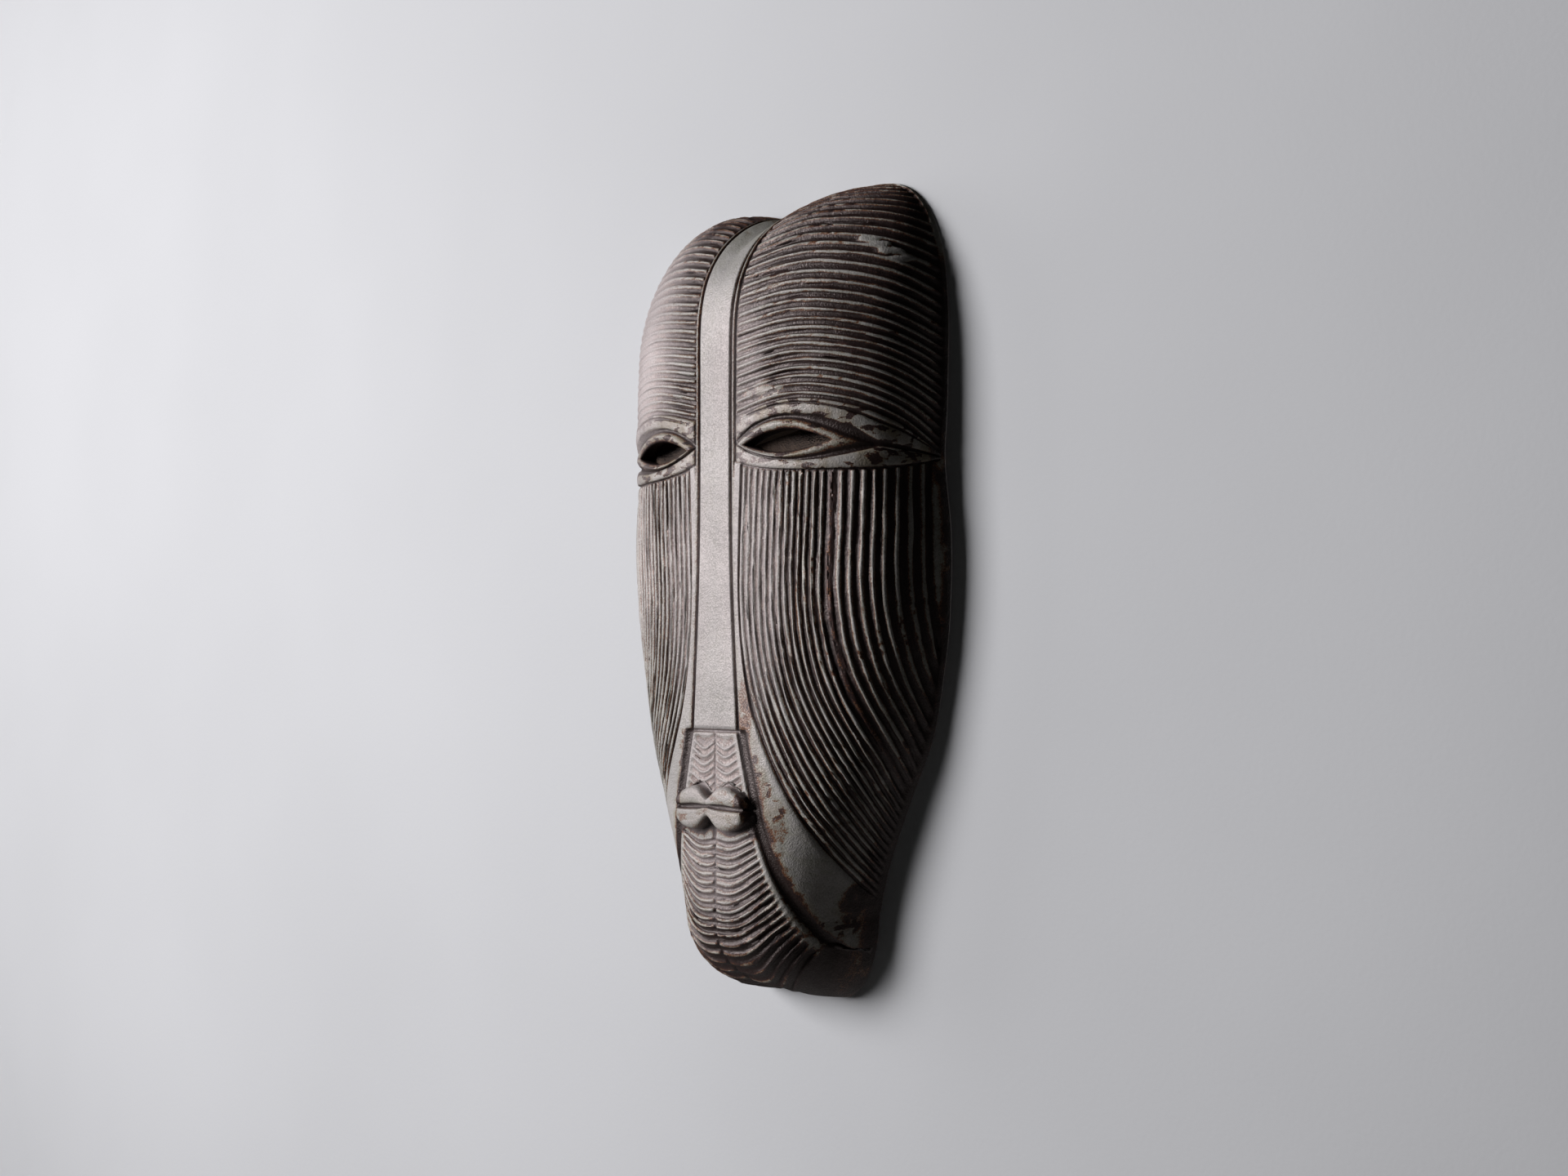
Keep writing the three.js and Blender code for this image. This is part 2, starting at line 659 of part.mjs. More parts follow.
// The smooth crescent between that line and the innermost cheek ridge
const noseSide = lastOf(besideNose);
addTriangle(bandFoot[2], muzzleLine[1], bandFoot[3]);
addTriangle(bandFoot[3], muzzleLine[1], noseSide);
const crescentBorder = [];
for (let i = 1; i < CRESCENT_STEPS; i += 1) {
  const level = between(CHEEK_FIRST_END, MUZZLE_LINE[0][0], i / CRESCENT_STEPS);
  crescentBorder.push(pin(borderAt(level), level));
}
const crescentMiddle = [cheekCorner];
for (let i = 1; i < CRESCENT_ROWS; i += 1) {
  const level = between(CRESCENT_MIDDLE_START, MUZZLE_LINE[0][0], i / CRESCENT_ROWS);
  const outerEdge = level > CHEEK_FIRST_END ? firstCheekAt(level) : borderAt(level);
  crescentMiddle.push(pin(0.5 * (muzzleEdgeAt(level) + outerEdge), level));
}
crescentMiddle.push(muzzleFoot);
fill([cheekCorner, ...besideNose, ...muzzleLine.slice(1), muzzleFoot], crescentMiddle);
fill(crescentMiddle, [cheekCorner, ...cheekLines[0], ...crescentBorder, muzzleFoot]);

// The smooth underside of the chin, down to the border of the rim
const chinBorder = [muzzleFoot];
for (let i = 1; i <= CHIN_BORDER_STEPS; i += 1) {
  const level = between(MUZZLE_LINE[0][0], BOTTOM_BORDER, i / CHIN_BORDER_STEPS);
  chinBorder.push(pin(borderAt(level), level));
}
for (let i = 1; i <= CHIN_BORDER_STEPS; i += 1) {
  const across = borderAt(BOTTOM_BORDER) * (1 - i / CHIN_BORDER_STEPS);
  chinBorder.push(pin(across, BOTTOM_BORDER, i === CHIN_BORDER_STEPS ? -CHIN_CENTRE_DIP : 0));
}
fill([...chinBorder].reverse(), muzzleRows[muzzleRows.length - 1]);

// The rim, in the plane of the wall
const rim = [];
for (let i = 0; i < RIM_TOP_STEPS; i += 1) {
  rim.push(pin(i / RIM_TOP_STEPS, TOP_LEVEL));
}
for (let i = 0; i <= RIM_SIDE_STEPS; i += 1) {
  rim.push(pin(1, between(TOP_LEVEL, BOTTOM_LEVEL, i / RIM_SIDE_STEPS)));
}
for (let i = RIM_BOTTOM_STEPS - 1; i >= 0; i -= 1) {
  rim.push(pin(i / RIM_BOTTOM_STEPS, BOTTOM_LEVEL));
}
const foreheadEnds = foreheadLines.map(lastOf).reverse();
const cheekEnds = cheekLines.map(lastOf).reverse();
const borderLine = [
  ...bandRows[0], ...foreheadLines[foreheadLines.length - 1].slice(0, -1), ...foreheadEnds,
  ...cheekBorder.slice(1, -1), ...cheekEnds, ...crescentBorder, ...chinBorder,
];
fill(borderLine, rim);

// Both halves of the skin, closed by a flat back
function mirrored() {
  const all = [...points];
  const twin = points.map((point, index) => {
    if (Math.abs(point.x) < ON_CENTRE) {
      return index;
    }
    all.push(new THREE.Vector3(-point.x, point.y, point.z));
    return all.length - 1;
  });
  all.forEach(tilt);
  const faces = [...triangles];
  for (const [a, b, c] of triangles) {
    faces.push([twin[a], twin[c], twin[b]]);
  }
  const loop = [...rim, ...rim.slice(1, -1).reverse().map((index) => twin[index])];
  return { all, faces, loop };
}

// Closes a loop in the plane of the wall with faces towards the wall
function closeBack(all, loop) {
  const flat = loop.map((index) => new THREE.Vector2(all[index].x, all[index].z));
  return THREE.ShapeUtils.triangulateShape(flat, []).map((face) => {
    const [a, b, c] = face.map((corner) => flat[corner]);
    const turn = (b.x - a.x) * (c.y - a.y) - (b.y - a.y) * (c.x - a.x);
    const order = turn > 0 ? [0, 2, 1] : [0, 1, 2];
    return order.map((corner) => loop[face[corner]]);
  });
}

const wasm = await Module();
wasm.setup();

function solidFrom(all, faces) {
  const vertProperties = new Float32Array(all.flatMap((point) => point.toArray()));
  const triVerts = new Uint32Array(faces.flat());
  return new wasm.Manifold(new wasm.Mesh({ numProp: 3, vertProperties, triVerts }));
}

const skin = mirrored();
const outer = solidFrom(skin.all, [...skin.faces, ...closeBack(skin.all, skin.loop)]);

function solidOf(geometry) {
  geometry.deleteAttribute('normal');
  geometry.deleteAttribute('uv');
  const merged = mergeVertices(geometry);
  const triVerts = new Uint32Array(merged.index.array);
  const vertProperties = new Float32Array(merged.attributes.position.array);
  return new wasm.Manifold(new wasm.Mesh({ numProp: 3, vertProperties, triVerts }));
}

// The hollow: the same form, one wall smaller, run out through the back
function hollowSolid() {
  const all = [];
  const faces = [];
  const rows = HOLLOW_ROWS;
  const columns = 2 * HOLLOW_COLUMNS;
  for (let r = 0; r <= rows; r += 1) {
    const level = between(TOP_LEVEL, BOTTOM_LEVEL, r / rows);
    for (let c = 0; c <= columns; c += 1) {
      const across = c / HOLLOW_COLUMNS - 1;
      const point = smoothPoint(Math.abs(across), level, WALL);
      point.x *= across < 0 ? -1 : 1;
      all.push(tilt(point));
    }
  }
  const at = (r, c) => r * (columns + 1) + c;
  for (let r = 0; r < rows; r += 1) {
    for (let c = 0; c < columns; c += 1) {
      faces.push([at(r + 1, c), at(r + 1, c + 1), at(r, c + 1)]);
      faces.push([at(r + 1, c), at(r, c + 1), at(r, c)]);
    }
  }
  const loop = [];
  for (let c = 0; c < columns; c += 1) {
    loop.push(at(0, c));
  }
  for (let r = 0; r < rows; r += 1) {
    loop.push(at(r, columns));
  }
  for (let c = columns; c > 0; c -= 1) {
    loop.push(at(rows, c));
  }
  for (let r = rows; r > 0; r -= 1) {
    loop.push(at(r, 0));
  }
  const behind = loop.map((index) => {
    all.push(all[index].clone().setY(BEHIND_WALL));
    return all.length - 1;
  });
  loop.forEach((index, i) => {
    const next = (i + 1) % loop.length;
    faces.push([index, loop[next], behind[next]]);
    faces.push([index, behind[next], behind[i]]);
  });
  return solidFrom(all, [...faces, ...closeBack(all, behind)]);
}

// An eye hole, cut straight through from the front
function eyeSolid(side) {
  const outline = [];
  for (let i = 0; i < 2 * EYE_STEPS; i += 1) {
    const turn = Math.PI * i / EYE_STEPS;
    const rise = turn < Math.PI ? EYE_UPPER_RISE : EYE_LOWER_DROP;
    const x = EYE_CENTRE + EYE_HALF_LENGTH * Math.cos(turn);
    const z = EYE_HEIGHT + rise * Math.sign(Math.sin(turn)) * Math.abs(Math.sin(turn)) ** EYE_ROUNDNESS;
    outline.push(new THREE.Vector2(side * x, z));
  }
  if (side < 0) {
    outline.reverse();
  }
  const options = { depth: EYE_CUT_DEPTH, bevelEnabled: false };
  const cutter = new THREE.ExtrudeGeometry(new THREE.Shape(outline), options);
  cutter.rotateX(RIGHT_ANGLE);
  cutter.translate(0, -EYE_CUT_START, 0);
  return solidOf(cutter);
}

const shaped = outer.subtract(hollowSolid()).subtract(eyeSolid(1)).subtract(eyeSolid(-1)).getMesh();
const shared = new THREE.BufferGeometry();
shared.setAttribute('position', new THREE.BufferAttribute(shaped.vertProperties, 3));
shared.setIndex(new THREE.BufferAttribute(shaped.triVerts, 1));
const faceted = shared.toNonIndexed();
faceted.computeVertexNormals();

const mask = new THREE.Mesh(faceted, CLAY);
mask.name = 'mask';

const object = new THREE.Group();
object.add(mask);

export default object;
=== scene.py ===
"""A wall mask of glazed stoneware on a pale wall.

Metres, in the frame of the CAD part: X to the right, Z up, the face looks towards -Y, the wall is
the plane Y = 0, and the origin is on the flat back rim in the cleft at the top.
"""

import math
from collections import namedtuple

import bmesh
import bpy
import numpy as np
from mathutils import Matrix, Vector


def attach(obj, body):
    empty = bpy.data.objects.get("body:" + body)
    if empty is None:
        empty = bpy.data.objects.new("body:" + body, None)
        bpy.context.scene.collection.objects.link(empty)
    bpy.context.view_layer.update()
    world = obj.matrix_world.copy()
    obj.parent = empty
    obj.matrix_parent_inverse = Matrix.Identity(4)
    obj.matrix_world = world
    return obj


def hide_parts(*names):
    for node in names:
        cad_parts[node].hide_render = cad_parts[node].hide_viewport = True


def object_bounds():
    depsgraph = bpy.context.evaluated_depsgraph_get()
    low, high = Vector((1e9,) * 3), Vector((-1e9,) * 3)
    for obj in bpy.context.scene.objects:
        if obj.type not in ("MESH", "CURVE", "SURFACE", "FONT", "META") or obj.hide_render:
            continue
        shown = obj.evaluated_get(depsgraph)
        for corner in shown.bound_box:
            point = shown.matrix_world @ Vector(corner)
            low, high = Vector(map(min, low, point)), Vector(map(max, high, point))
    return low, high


bl_info = {
    "name": "Glazed wall mask",
    "version": (1, 0, 0),
    "blender": (4, 5, 0),
    "location": "3D View > Sidebar > Mask",
    "description": "Makes a stoneware wall mask with combed ridges and the wall that it hangs on",
    "category": "Add Mesh",
}

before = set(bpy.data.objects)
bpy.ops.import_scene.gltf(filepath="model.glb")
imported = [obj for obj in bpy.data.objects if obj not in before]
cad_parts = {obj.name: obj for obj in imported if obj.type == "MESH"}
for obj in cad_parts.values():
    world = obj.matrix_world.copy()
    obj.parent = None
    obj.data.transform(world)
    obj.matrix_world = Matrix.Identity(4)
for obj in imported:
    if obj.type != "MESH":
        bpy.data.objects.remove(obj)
CAD_LOW, CAD_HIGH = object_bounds()

# Overall form. Here and below a fade is a pair of where it starts and how wide it is.
FACE_DEPTH = 0.0605
CENTRE_TOP = 0.0035
LOBE_RISE = 0.0112
LOBE_REACH = 0.046
LOBE_BLEND = 0.06
CROWN_TILT = 0.022
CROWN_TILT_FADE = (-0.06, 0.07)
CENTRE_BOTTOM = -0.354
CHIN_LOBE_DROP = 0.0024
CHIN_LOBE_REACH = 0.022
CHIN_LOBE_BLEND = 0.03

# The crown closes above its start and the chin below it, over so many levels: which way it goes,
# the half width that stays flat, how the levels are stretched, the exponents of the curve and of
# its corner, and how far it reaches
End = namedtuple("End", "way start flat levels stretch exponent corner reach")
CROWN = End(1, -0.058, 0.045, 0.073, 0.034, 2.15, 2.53, CENTRE_TOP + LOBE_RISE + 0.058)
CHIN = End(-1, -0.318, 0.025, 0.042, 0.035, 2.1, 1.8, -0.318 - (CENTRE_BOTTOM - CHIN_LOBE_DROP))
TOP_LEVEL = CROWN.start + CROWN.levels
BOTTOM_LEVEL = CHIN.start - CHIN.levels

# Half width of the outline and squareness of the cross-section, each at a height
HALF_WIDTHS = [
    (-0.318, 0.0452), (-0.302, 0.0493), (-0.288, 0.0542), (-0.263, 0.0653), (-0.235, 0.0781),
    (-0.204, 0.0848), (-0.183, 0.0876), (-0.147, 0.0885), (-0.112, 0.085), (-0.09, 0.0864),
    (-0.058, 0.0872),
]
SQUARENESS = [
    (-0.358, 2.2), (-0.318, 2.4), (-0.27, 2.6), (-0.222, 2.45), (-0.16, 2.7), (-0.104, 2.85),
    (-0.06, 2.7), (-0.02, 2.2), (0.015, 1.9),
]

# Smooth border beside the rim
RIM_BORDER = 0.0026
RIM_BORDER_MOST = 0.2
RIM_BORDER_DEPTH = 0.008
TOP_BORDER_LEVELS = 0.0014
BOTTOM_BORDER_LEVELS = 0.001
TOP_BORDER = TOP_LEVEL - TOP_BORDER_LEVELS
BOTTOM_BORDER = BOTTOM_LEVEL + BOTTOM_BORDER_LEVELS

# Nose band, the two lines drawn beside it and the narrow ridge between them, as distances from
# the edge of the band, each with how deep it is cut. The nose ends inside the foot, which is the
# part of the lines from one of their points on.
BAND_END = -0.2324
BAND_HALF_WIDTHS = [
    (-0.2324, 0.0136), (-0.162, 0.0098), (-0.104, 0.0092), (-0.05, 0.0094), (0, 0.0098),
    (0.016, 0.0098),
]
BAND_SHARES = (0, 0.22, 0.44, 0.66, 0.84, 0.95)
BAND_LINES = (
    (0, 0), (0.0003, 0.3), (0.0007, 0.85), (0.0012, 1), (0.0016, 0.8), (0.002, 0.3), (0.0025, 0),
    (0.003, 0.15), (0.0035, 0.7),
)
BAND_FOOT = 3
BAND_STRIP_FROM = 0.0016
BAND_STRIP_DARK = 0.3
BAND_EDGE = 0.004
BAND_ROWS = 150
OUTER_LINE_FROM = 0.0027
OUTER_LINE_FADE = (-0.122, 0.008)

# Forehead: the brow line by its height over the place across the face
BROW_LINE = [
    (0.08, -0.0925), (0.3, -0.0865), (0.45, -0.088), (0.66, -0.095), (0.87, -0.1055), (1, -0.112),
]
FOREHEAD_FINER = 0.12
FOREHEAD_NARROW = 1.3
FOREHEAD_STEPS = 50
FOREHEAD_END = 0.03

# Lids and eyes: the cheek line is the lower edge of the lower lid
CHEEK_LINE = [
    (0.08, -0.113), (0.2, -0.1168), (0.36, -0.1188), (0.6, -0.1188), (0.82, -0.116), (1, -0.112),
]
LID_TIP = -0.112
UPPER_LID_SHARES = (
    0.06, 0.11, 0.16, 0.21, 0.255, 0.3, 0.345, 0.39, 0.46, 0.56, 0.68, 0.8, 0.88, 0.94,
)
LOWER_LID_SHARES = (0.06, 0.12, 0.2, 0.3, 0.42, 0.55, 0.68, 0.8, 0.88, 0.94)
LID_GROOVE = 0.15
UPPER_LID_SPLIT = 0.3
LOWER_LID_SPLIT = 0
LID_SPLIT_WIDTH = 0.1
LID_SPLIT_ENDS = 0.16
LID_CREST = 0.0008
LID_SWELL_START = 0.02
LID_TIP_DARK = 1.0
LID_TIP_FADE = (0.8, 0.2)
EYE_CENTRE = 0.0408
EYE_HEIGHT = -0.106
EYE_HALF_LENGTH = 0.0216
EYE_UPPER_RISE = 0.0058
EYE_LOWER_DROP = 0.0042
EYE_ROUNDNESS = 0.9
EYE_EDGE = 0.0016
EYE_STEPS = 36
EYE_STAIN = 1.0

# Rows from the crease to the edge of the eye: share of the way, lift, how deep and how dark
EYE_RING = (
    (0, 0, 1, 0.9), (0.1, 0, 0.9, 0.8), (0.22, 0, 0.5, 0.55), (0.36, 0.0002, 0.2, 0.45),
    (0.5, 0.0005, 0.1, 0.4), (0.66, 0.0008, 0, 0.35), (0.84, 0.0009, 0, 0.3),
    (1, 0.0006, 0, 0.4),
)
EYE_SHADE_FADE = (0.35, 0.35)
EYE_SHADE_LEAST = 0.5

# Rings of the eye hole: distance outside its outline, lift, how dark it is, and share of the way
# to the inside. The darkness down the wall of the hole is painted shade.
EYE_HOLE = (
    (0.0009, 0.0004, 0.5, 0), (0.0004, 0, 0.75, 0), (0.0001, -0.0007, 0.95, 0),
    (0, -0.0016, 1, 0), (0, 0, 1, 0.6), (0.0001, 0, 1, 0.94), (0.0007, 0, 0.5, 1),
)
EYE_CORNER_HEIGHT = -0.1045
CREASE_END = 0.078
CREASE_END_HEIGHT = -0.108
UPPER_CREASE_RISE = 0.0115
LOWER_CREASE_DROP = 0.0076
CREASE_LEAN = 0.85
TAIL_STEPS = 8
TAIL_DARK = 0.5

# Cheeks: where on the cheek line the ridges begin, over the share of their number
CHEEK_STEPS = 92
CHEEK_BEGINS = [
    (0, 0.129), (0.3, 0.298), (0.56, 0.445), (0.717, 0.578), (0.848, 0.717), (1, 0.965),
]
CHEEK_FIRST_END = -0.31
CHEEK_LAST_END = -0.19
CHEEK_SWEEPS = (4.2, 3.8)
CHEEK_LEANS = (0.026, 0.04)
CHEEK_LEAN_REACH = (0.74, 1.1)
CHEEK_NARROW = (-0.25, 1.15)
CHEEK_BEAD = 0.013
CHEEK_TURN = 100

# The wide groove on the right cheek, with a thin low ridge in it
SCAR_RIDGE = 13.5
SCAR_WIDTH = 0.5
SCAR_CUT = 0.6
SCAR_RUST = 0.3
SCAR_RUST_FADE = (-0.195, -0.015)

# Line between the muzzle and the smooth crescent beside it, half width at a height
MUZZLE_LINE = [
    (-0.333, 0.0424), (-0.326, 0.0403), (-0.308, 0.0344), (-0.293, 0.0294), (-0.274, 0.0242),
    (-0.263, 0.022), (-0.248, 0.0186), (-0.2324, 0.0148),
]
MUZZLE_FOOT = MUZZLE_LINE[0][0]

# The smooth crescent: lines cut along its two edges, as distances and depths
CRESCENT_LINES = (
    (0, 1), (0.0011, 1), (0.0022, 1), (0.0032, 0.75), (0.0041, 0.3), (0.005, 0),
)
CRESCENT_EDGE_WIDTH = 0.0072
CRESCENT_STAIN_REACH = 1.5
CRESCENT_OUTER = ((0.0019, 0), (0.0013, 0.3), (0.0007, 0.85), (0, 1))
CRESCENT_MIDDLES = 7
CRESCENT_NARROW = 0.0075
CRESCENT_STEPS = 18
CRESCENT_CUT_END = -0.307
CRESCENT_START_BLEND = 12
LENGTH_SAMPLES = 12

# Upper lip, mouth and chin: heights over the share of the way to the muzzle line
UPPER_LIP = [
    (0, -0.263), (0.1, -0.2612), (0.25, -0.2581), (0.39, -0.2568), (0.55, -0.2572),
    (0.7, -0.2588), (0.86, -0.2606), (0.94, -0.2622), (1, -0.265),
]
MOUTH = [(0, -0.2668), (1, -0.2678)]
LOWER_LIP = [
    (0, -0.2722), (0.08, -0.2732), (0.2, -0.2762), (0.35, -0.2784), (0.5, -0.2789),
    (0.65, -0.2785), (0.86, -0.2762), (0.95, -0.2736), (1, -0.2708),
]
LIP_REACH = [
    (0, 0.92), (0.1, 1), (0.4, 1), (0.9, 1), (0.935, 0.92), (0.965, 0.65), (0.985, 0.25), (1, 0),
]
MUZZLE_SHARES = (
    0, 0.02, 0.045, 0.08, 0.12, *np.linspace(0.17, 0.85, 15), 0.9, 0.925, 0.945, 0.965,
    0.985, 1,
)
MUZZLE_INSIDE = 0.0012
MUZZLE_LINE_CUTS = (0.25, 0.8)
NOSE_STEP_ROWS = ((0, 0), (0.00025, 0.45), (0.0006, 0.9), (0.0011, 1), (0.0016, 0.6))
LIP_STEP = 0.0024
LIP_RIDGES = 7
LIP_RIDGES_END = -0.2606
LIP_SWELL = 0.0054
LIP_CLEFT = 0.8
LIP_SAG = 0.003
LIP_RISE = 0.0012
LIP_NARROW = 1.6
LIP_COMB = 0.85
LIP_TURN = 200.5
UPPER_LIP_PROFILE = [(0, 0), (0.1, 0.6), (0.25, 0.9), (0.5, 1), (0.8, 0.97), (0.94, 0.85), (1, 0.6)]
LOWER_LIP_PROFILE = [
    (0, 0.6), (0.06, 0.88), (0.15, 1), (0.5, 1), (0.75, 0.93), (0.9, 0.66), (1, 0),
]
LIP_GAP = 0.0005
LIP_ROWS = 14
LIP_TOP_LINE = 0.6
LIP_LINE = 0.12
MOUTH_LINE = 0.1
LIP_STAIN = 0.5
LIP_SHADE = 0.4
UPPER_LIP_DARK = (0.75, 0.74, 0.08)
LOWER_LIP_DARK = (0.9, 0.93, 0.08)
CHIN_FIRST = -0.281
CHIN_FIRST_SIDE = -0.2775
CHIN_LAST = -0.354
CHIN_LAST_SIDE = -0.329
CHIN_SAG = 0.0016
CLEFT_WIDTH = 0.0018
STRIP_WIDTH = 0.0026
STRIP_START = 0.35
GARLAND_RISE = 2.2
GARLAND_REACH = 1.1
GARLAND_ROUNDNESS = 1.5
CHIN_TURN = 300.5
CHIN_NARROW = 0.7
CHIN_STAIN = 0.7
CHIN_BORDER_ROWS = 8
CHIN_SIDE_STEPS = 40
CHIN_UNDER_STEPS = 19
CHIN_LINE = 0.8
CHIN_DARK = 0.75
CHIN_DARK_FADE = 0.4

# Samples over one ridge, how they close up at its ends, and the spacing used for slopes. Each
# combed patch counts its ridges from a TURN of its own, so no two patches wander alike.
RIDGE_SAMPLES = 8
END_SHARES = (0, 0.12, 0.35, 0.65)
ACROSS_STEP = 0.002
LEVEL_STEP = 0.00002
SAME_POINT = 1e-6
TINY = 1e-12

# Rim and hollow
RIM_TOP_STEPS = 18
RIM_SIDE_STEPS = 120
RIM_SHARES = (0.4, 0.12, 0)
RIM_ROUNDING = 0.0005
HOLLOW_SHARE = 0.2
EYE_WINDOW = 0.004

RIGHT_ANGLE = math.pi / 2
TURN = 2 * math.pi

# Carving: how the ridges wander and vary, and which range of a noise does it
SEED_STEP = 3.7
TURN_STEP = 0.45
CREST_SHARPNESS = 1.2
CREST_NARROWING = 1.4
HEIGHTS = (70.0, 2.0)
LOW_RIDGES = (0.45, 0.75)
FULL_GROOVES = (0.5, 0.25)
GROOVE_FILL = 0.35
NICKS, NICK_RANGE = (330.0, 1.0), (0.57, 0.64)
CLUSTERS, CLUSTER_RANGE = (28.0, 1.0), (0.46, 0.56)
NICK_SHADE = 0.5
RIPPLES = (60.0, 2.0)
FINGER_MARKS = (45.0, 1.0)
WANDER_DETAIL = 1.0

CARVING_INPUTS = {
    "Ridge Depth": 0.0014, "Line Depth": 0.0014, "Wander": 0.0006, "Wander Scale": 45.0,
    "Depth Variation": 0.35, "Nick Depth": 0.0006, "Ripple": 0.0003, "Finger Marks": 0.0008,
    "Seed": 7, "Glaze": None,
}
SOCKETS = {float: "NodeSocketFloat", int: "NodeSocketInt", type(None): "NodeSocketMaterial"}

# Glaze: its noises by scale and detail, and the ranges that they are brought from and to
SOFT, BREAK_UP = (220.0, 4.0), 0.6
FINE, GRAIN = (1400.0, 2.0), 0.5
BROAD, CLOUD_RANGE = (30.0, 3.0), (0.35, 0.65, 0.84, 1.06)
PATCHES, PATCH_RANGE = (90.0, 3.0), (0.25, 0.5, 0.45, 1.0)
STREAKS, STREAK_RANGE = (330.0, 3.0), (0.49, 0.58, 0.0, 0.75)
STREAK_PULL = (0.45, 0.45, 1.0)
BLOTCHES, BLOTCH_RANGE = (110.0, 4.0), (0.4, 0.7, 0.1, 0.75)
SPECKLE_RANGE = (0.3, 0.7, 0.86, 1.12)
CLAY_RANGE = (0.3, 0.7, 0.8, 1.15)
GLOSS_RANGE = (0.3, 0.7, 0.56, 0.38)
# How far the painted sheen and light pales the glaze colour
PAINTED_SHEEN_MOST = 0.9
CLAY_ROUGHNESS = 0.85
SOFT_BUMP = 1.5
GLAZE_BUMP = (0.85, 0.0003)
GLAZE_IOR = 1.65
GLAZE_TINT = (1.0, 0.87, 0.84, 1.0)
GLAZE_STOPS = (
    (0.1, "pooled"), (0.4, "thin"), (0.5, "rust"), (0.57, "tan"), (0.68, "pale"), (1.0, "palest"),
)

# Stage
STAGE_REACH = 6.0
STAGE_HEIGHT = 2.5
FLOOR_LEVEL = -1.5
WALL_GAP = 0.0006
MOTTLE, MOTTLE_RANGE = (3.0, 3.0), (0.3, 0.7, 0.97, 1.03)
PAINT_GRAIN, PAINT_BUMP = (500.0, 3.0), (0.15, 0.0004)
PAINT_ROUGHNESS = 0.75
ROOM_COLOUR = (1.0, 1.0, 1.0, 1.0)
CAMERA_PLACE = (0.6722, -0.6882, -0.2)
CAMERA_PITCH = math.radians(1.92)
CAMERA_TURN = math.radians(45)
SENSOR = 36.0
LENS = 46.875

# Lights: name, setting that holds the power, place, target, size, spread and colour
LIGHT_TARGET = (0, -0.02, -0.17)
NEUTRAL, ROSY = (1.0, 1.0, 1.0), (1.0, 0.98, 1.0)
LIGHTS = (
    ("window", "key", (-1.3, -2.1, 0.42), (-0.3, 0, -0.08), (1.0, 1.3), math.radians(75), ROSY),
    ("side", "side", (-1.9, -0.85, 0.1), LIGHT_TARGET, (0.8, 1.2), math.pi, ROSY),
    ("fill", "fill", (1.6, -1.6, 0.2), LIGHT_TARGET, (1.6, 1.6), math.pi, NEUTRAL),
    ("behind", "behind", (0.0, 1.8, -0.1), LIGHT_TARGET, (0.6, 0.6), math.pi, NEUTRAL),
)

# What the settings of one kind share
COLOUR = {"size": 3, "min": 0, "max": 1, "subtype": "COLOR"}
LENGTH = {"subtype": "DISTANCE", "unit": "LENGTH", "precision": 4}

# The dark mottled zone beside the rim, lower down on the cheeks, painted shade on the side of
# the rim by the wall, and the crown darker towards its top
SHADE_FADE = (-0.19, -0.05)
SHADE_WIDTH = 0.022
RIM_SHADE_FADE = (-0.005, -0.03)
RIM_SHADE_WIDTH = 0.012
CROWN_DARK = 0.4
CROWN_DARK_FADE = (-0.035, 0.0497)
SPOT_EDGE = 1.8
# How much the comb fills in under the painted sheen and light
SHEEN_SPOT_FILL = 0.55

# Soft round spots of the glaze, each with its centre, its reach along the three axes and its
# strength: dark ones, spots of painted sheen and light, stained ones and places that the comb left
# smooth
DARK_SPOTS = (
    ((0.0465, -0.0165, -0.3085), (0.01, 0.012, 0.011), 1.0),
    ((0.0445, -0.018, -0.318), (0.006, 0.007, 0.005), 0.8),
    ((0.0235, -0.061, -0.272), (0.005, 0.01, 0.013), 0.9),
    ((-0.0235, -0.061, -0.272), (0.005, 0.01, 0.013), 0.9),
    ((0.0, -0.038, -0.352), (0.06, 0.045, 0.044), 0.36),
    ((0.0, -0.02, -0.356), (0.06, 0.03, 0.02), 0.8),
    ((0.03, -0.05, -0.338), (0.018, 0.03, 0.018), 0.8),
    ((0.019, -0.062, -0.226), (0.007, 0.01, 0.03), 0.5),
    ((0.027, -0.0585, -0.258), (0.007, 0.008, 0.013), 0.45),
    ((0.035, -0.054, -0.276), (0.007, 0.008, 0.01), 0.4),
)
# Painted sheen and light: spots on the lit left side and where the front catches the light
LIT_SHEEN_SPOTS = (
    ((-0.08, -0.04, -0.05), (0.068, 0.07, 0.09), 1.0),
    ((-0.07, -0.04, -0.15), (0.045, 0.045, 0.075), 0.3),
    ((0.0, -0.063, -0.247), (0.03, 0.02, 0.022), 0.65),
    ((0.0, -0.063, -0.29), (0.034, 0.026, 0.034), 0.3),
    ((0.022, -0.063, -0.165), (0.028, 0.024, 0.08), 0.5),
    ((-0.018, -0.063, -0.165), (0.024, 0.022, 0.075), 0.4),
    ((0.014, -0.063, -0.075), (0.022, 0.026, 0.05), 0.4),
)
STAINS = (
    ((0.0235, -0.0595, -0.244), (0.005, 0.008, 0.012), 0.9),
    ((0.0275, -0.0585, -0.258), (0.008, 0.01, 0.012), 1.0),
    ((0.033, -0.056, -0.268), (0.009, 0.01, 0.008), 0.9),
    ((0.043, -0.02, -0.318), (0.012, 0.016, 0.01), 1.0),
    ((0.039, -0.046, -0.288), (0.018, 0.022, 0.032), 0.3),
    ((0.031, -0.059, -0.0815), (0.014, 0.012, 0.006), 1.0),
)
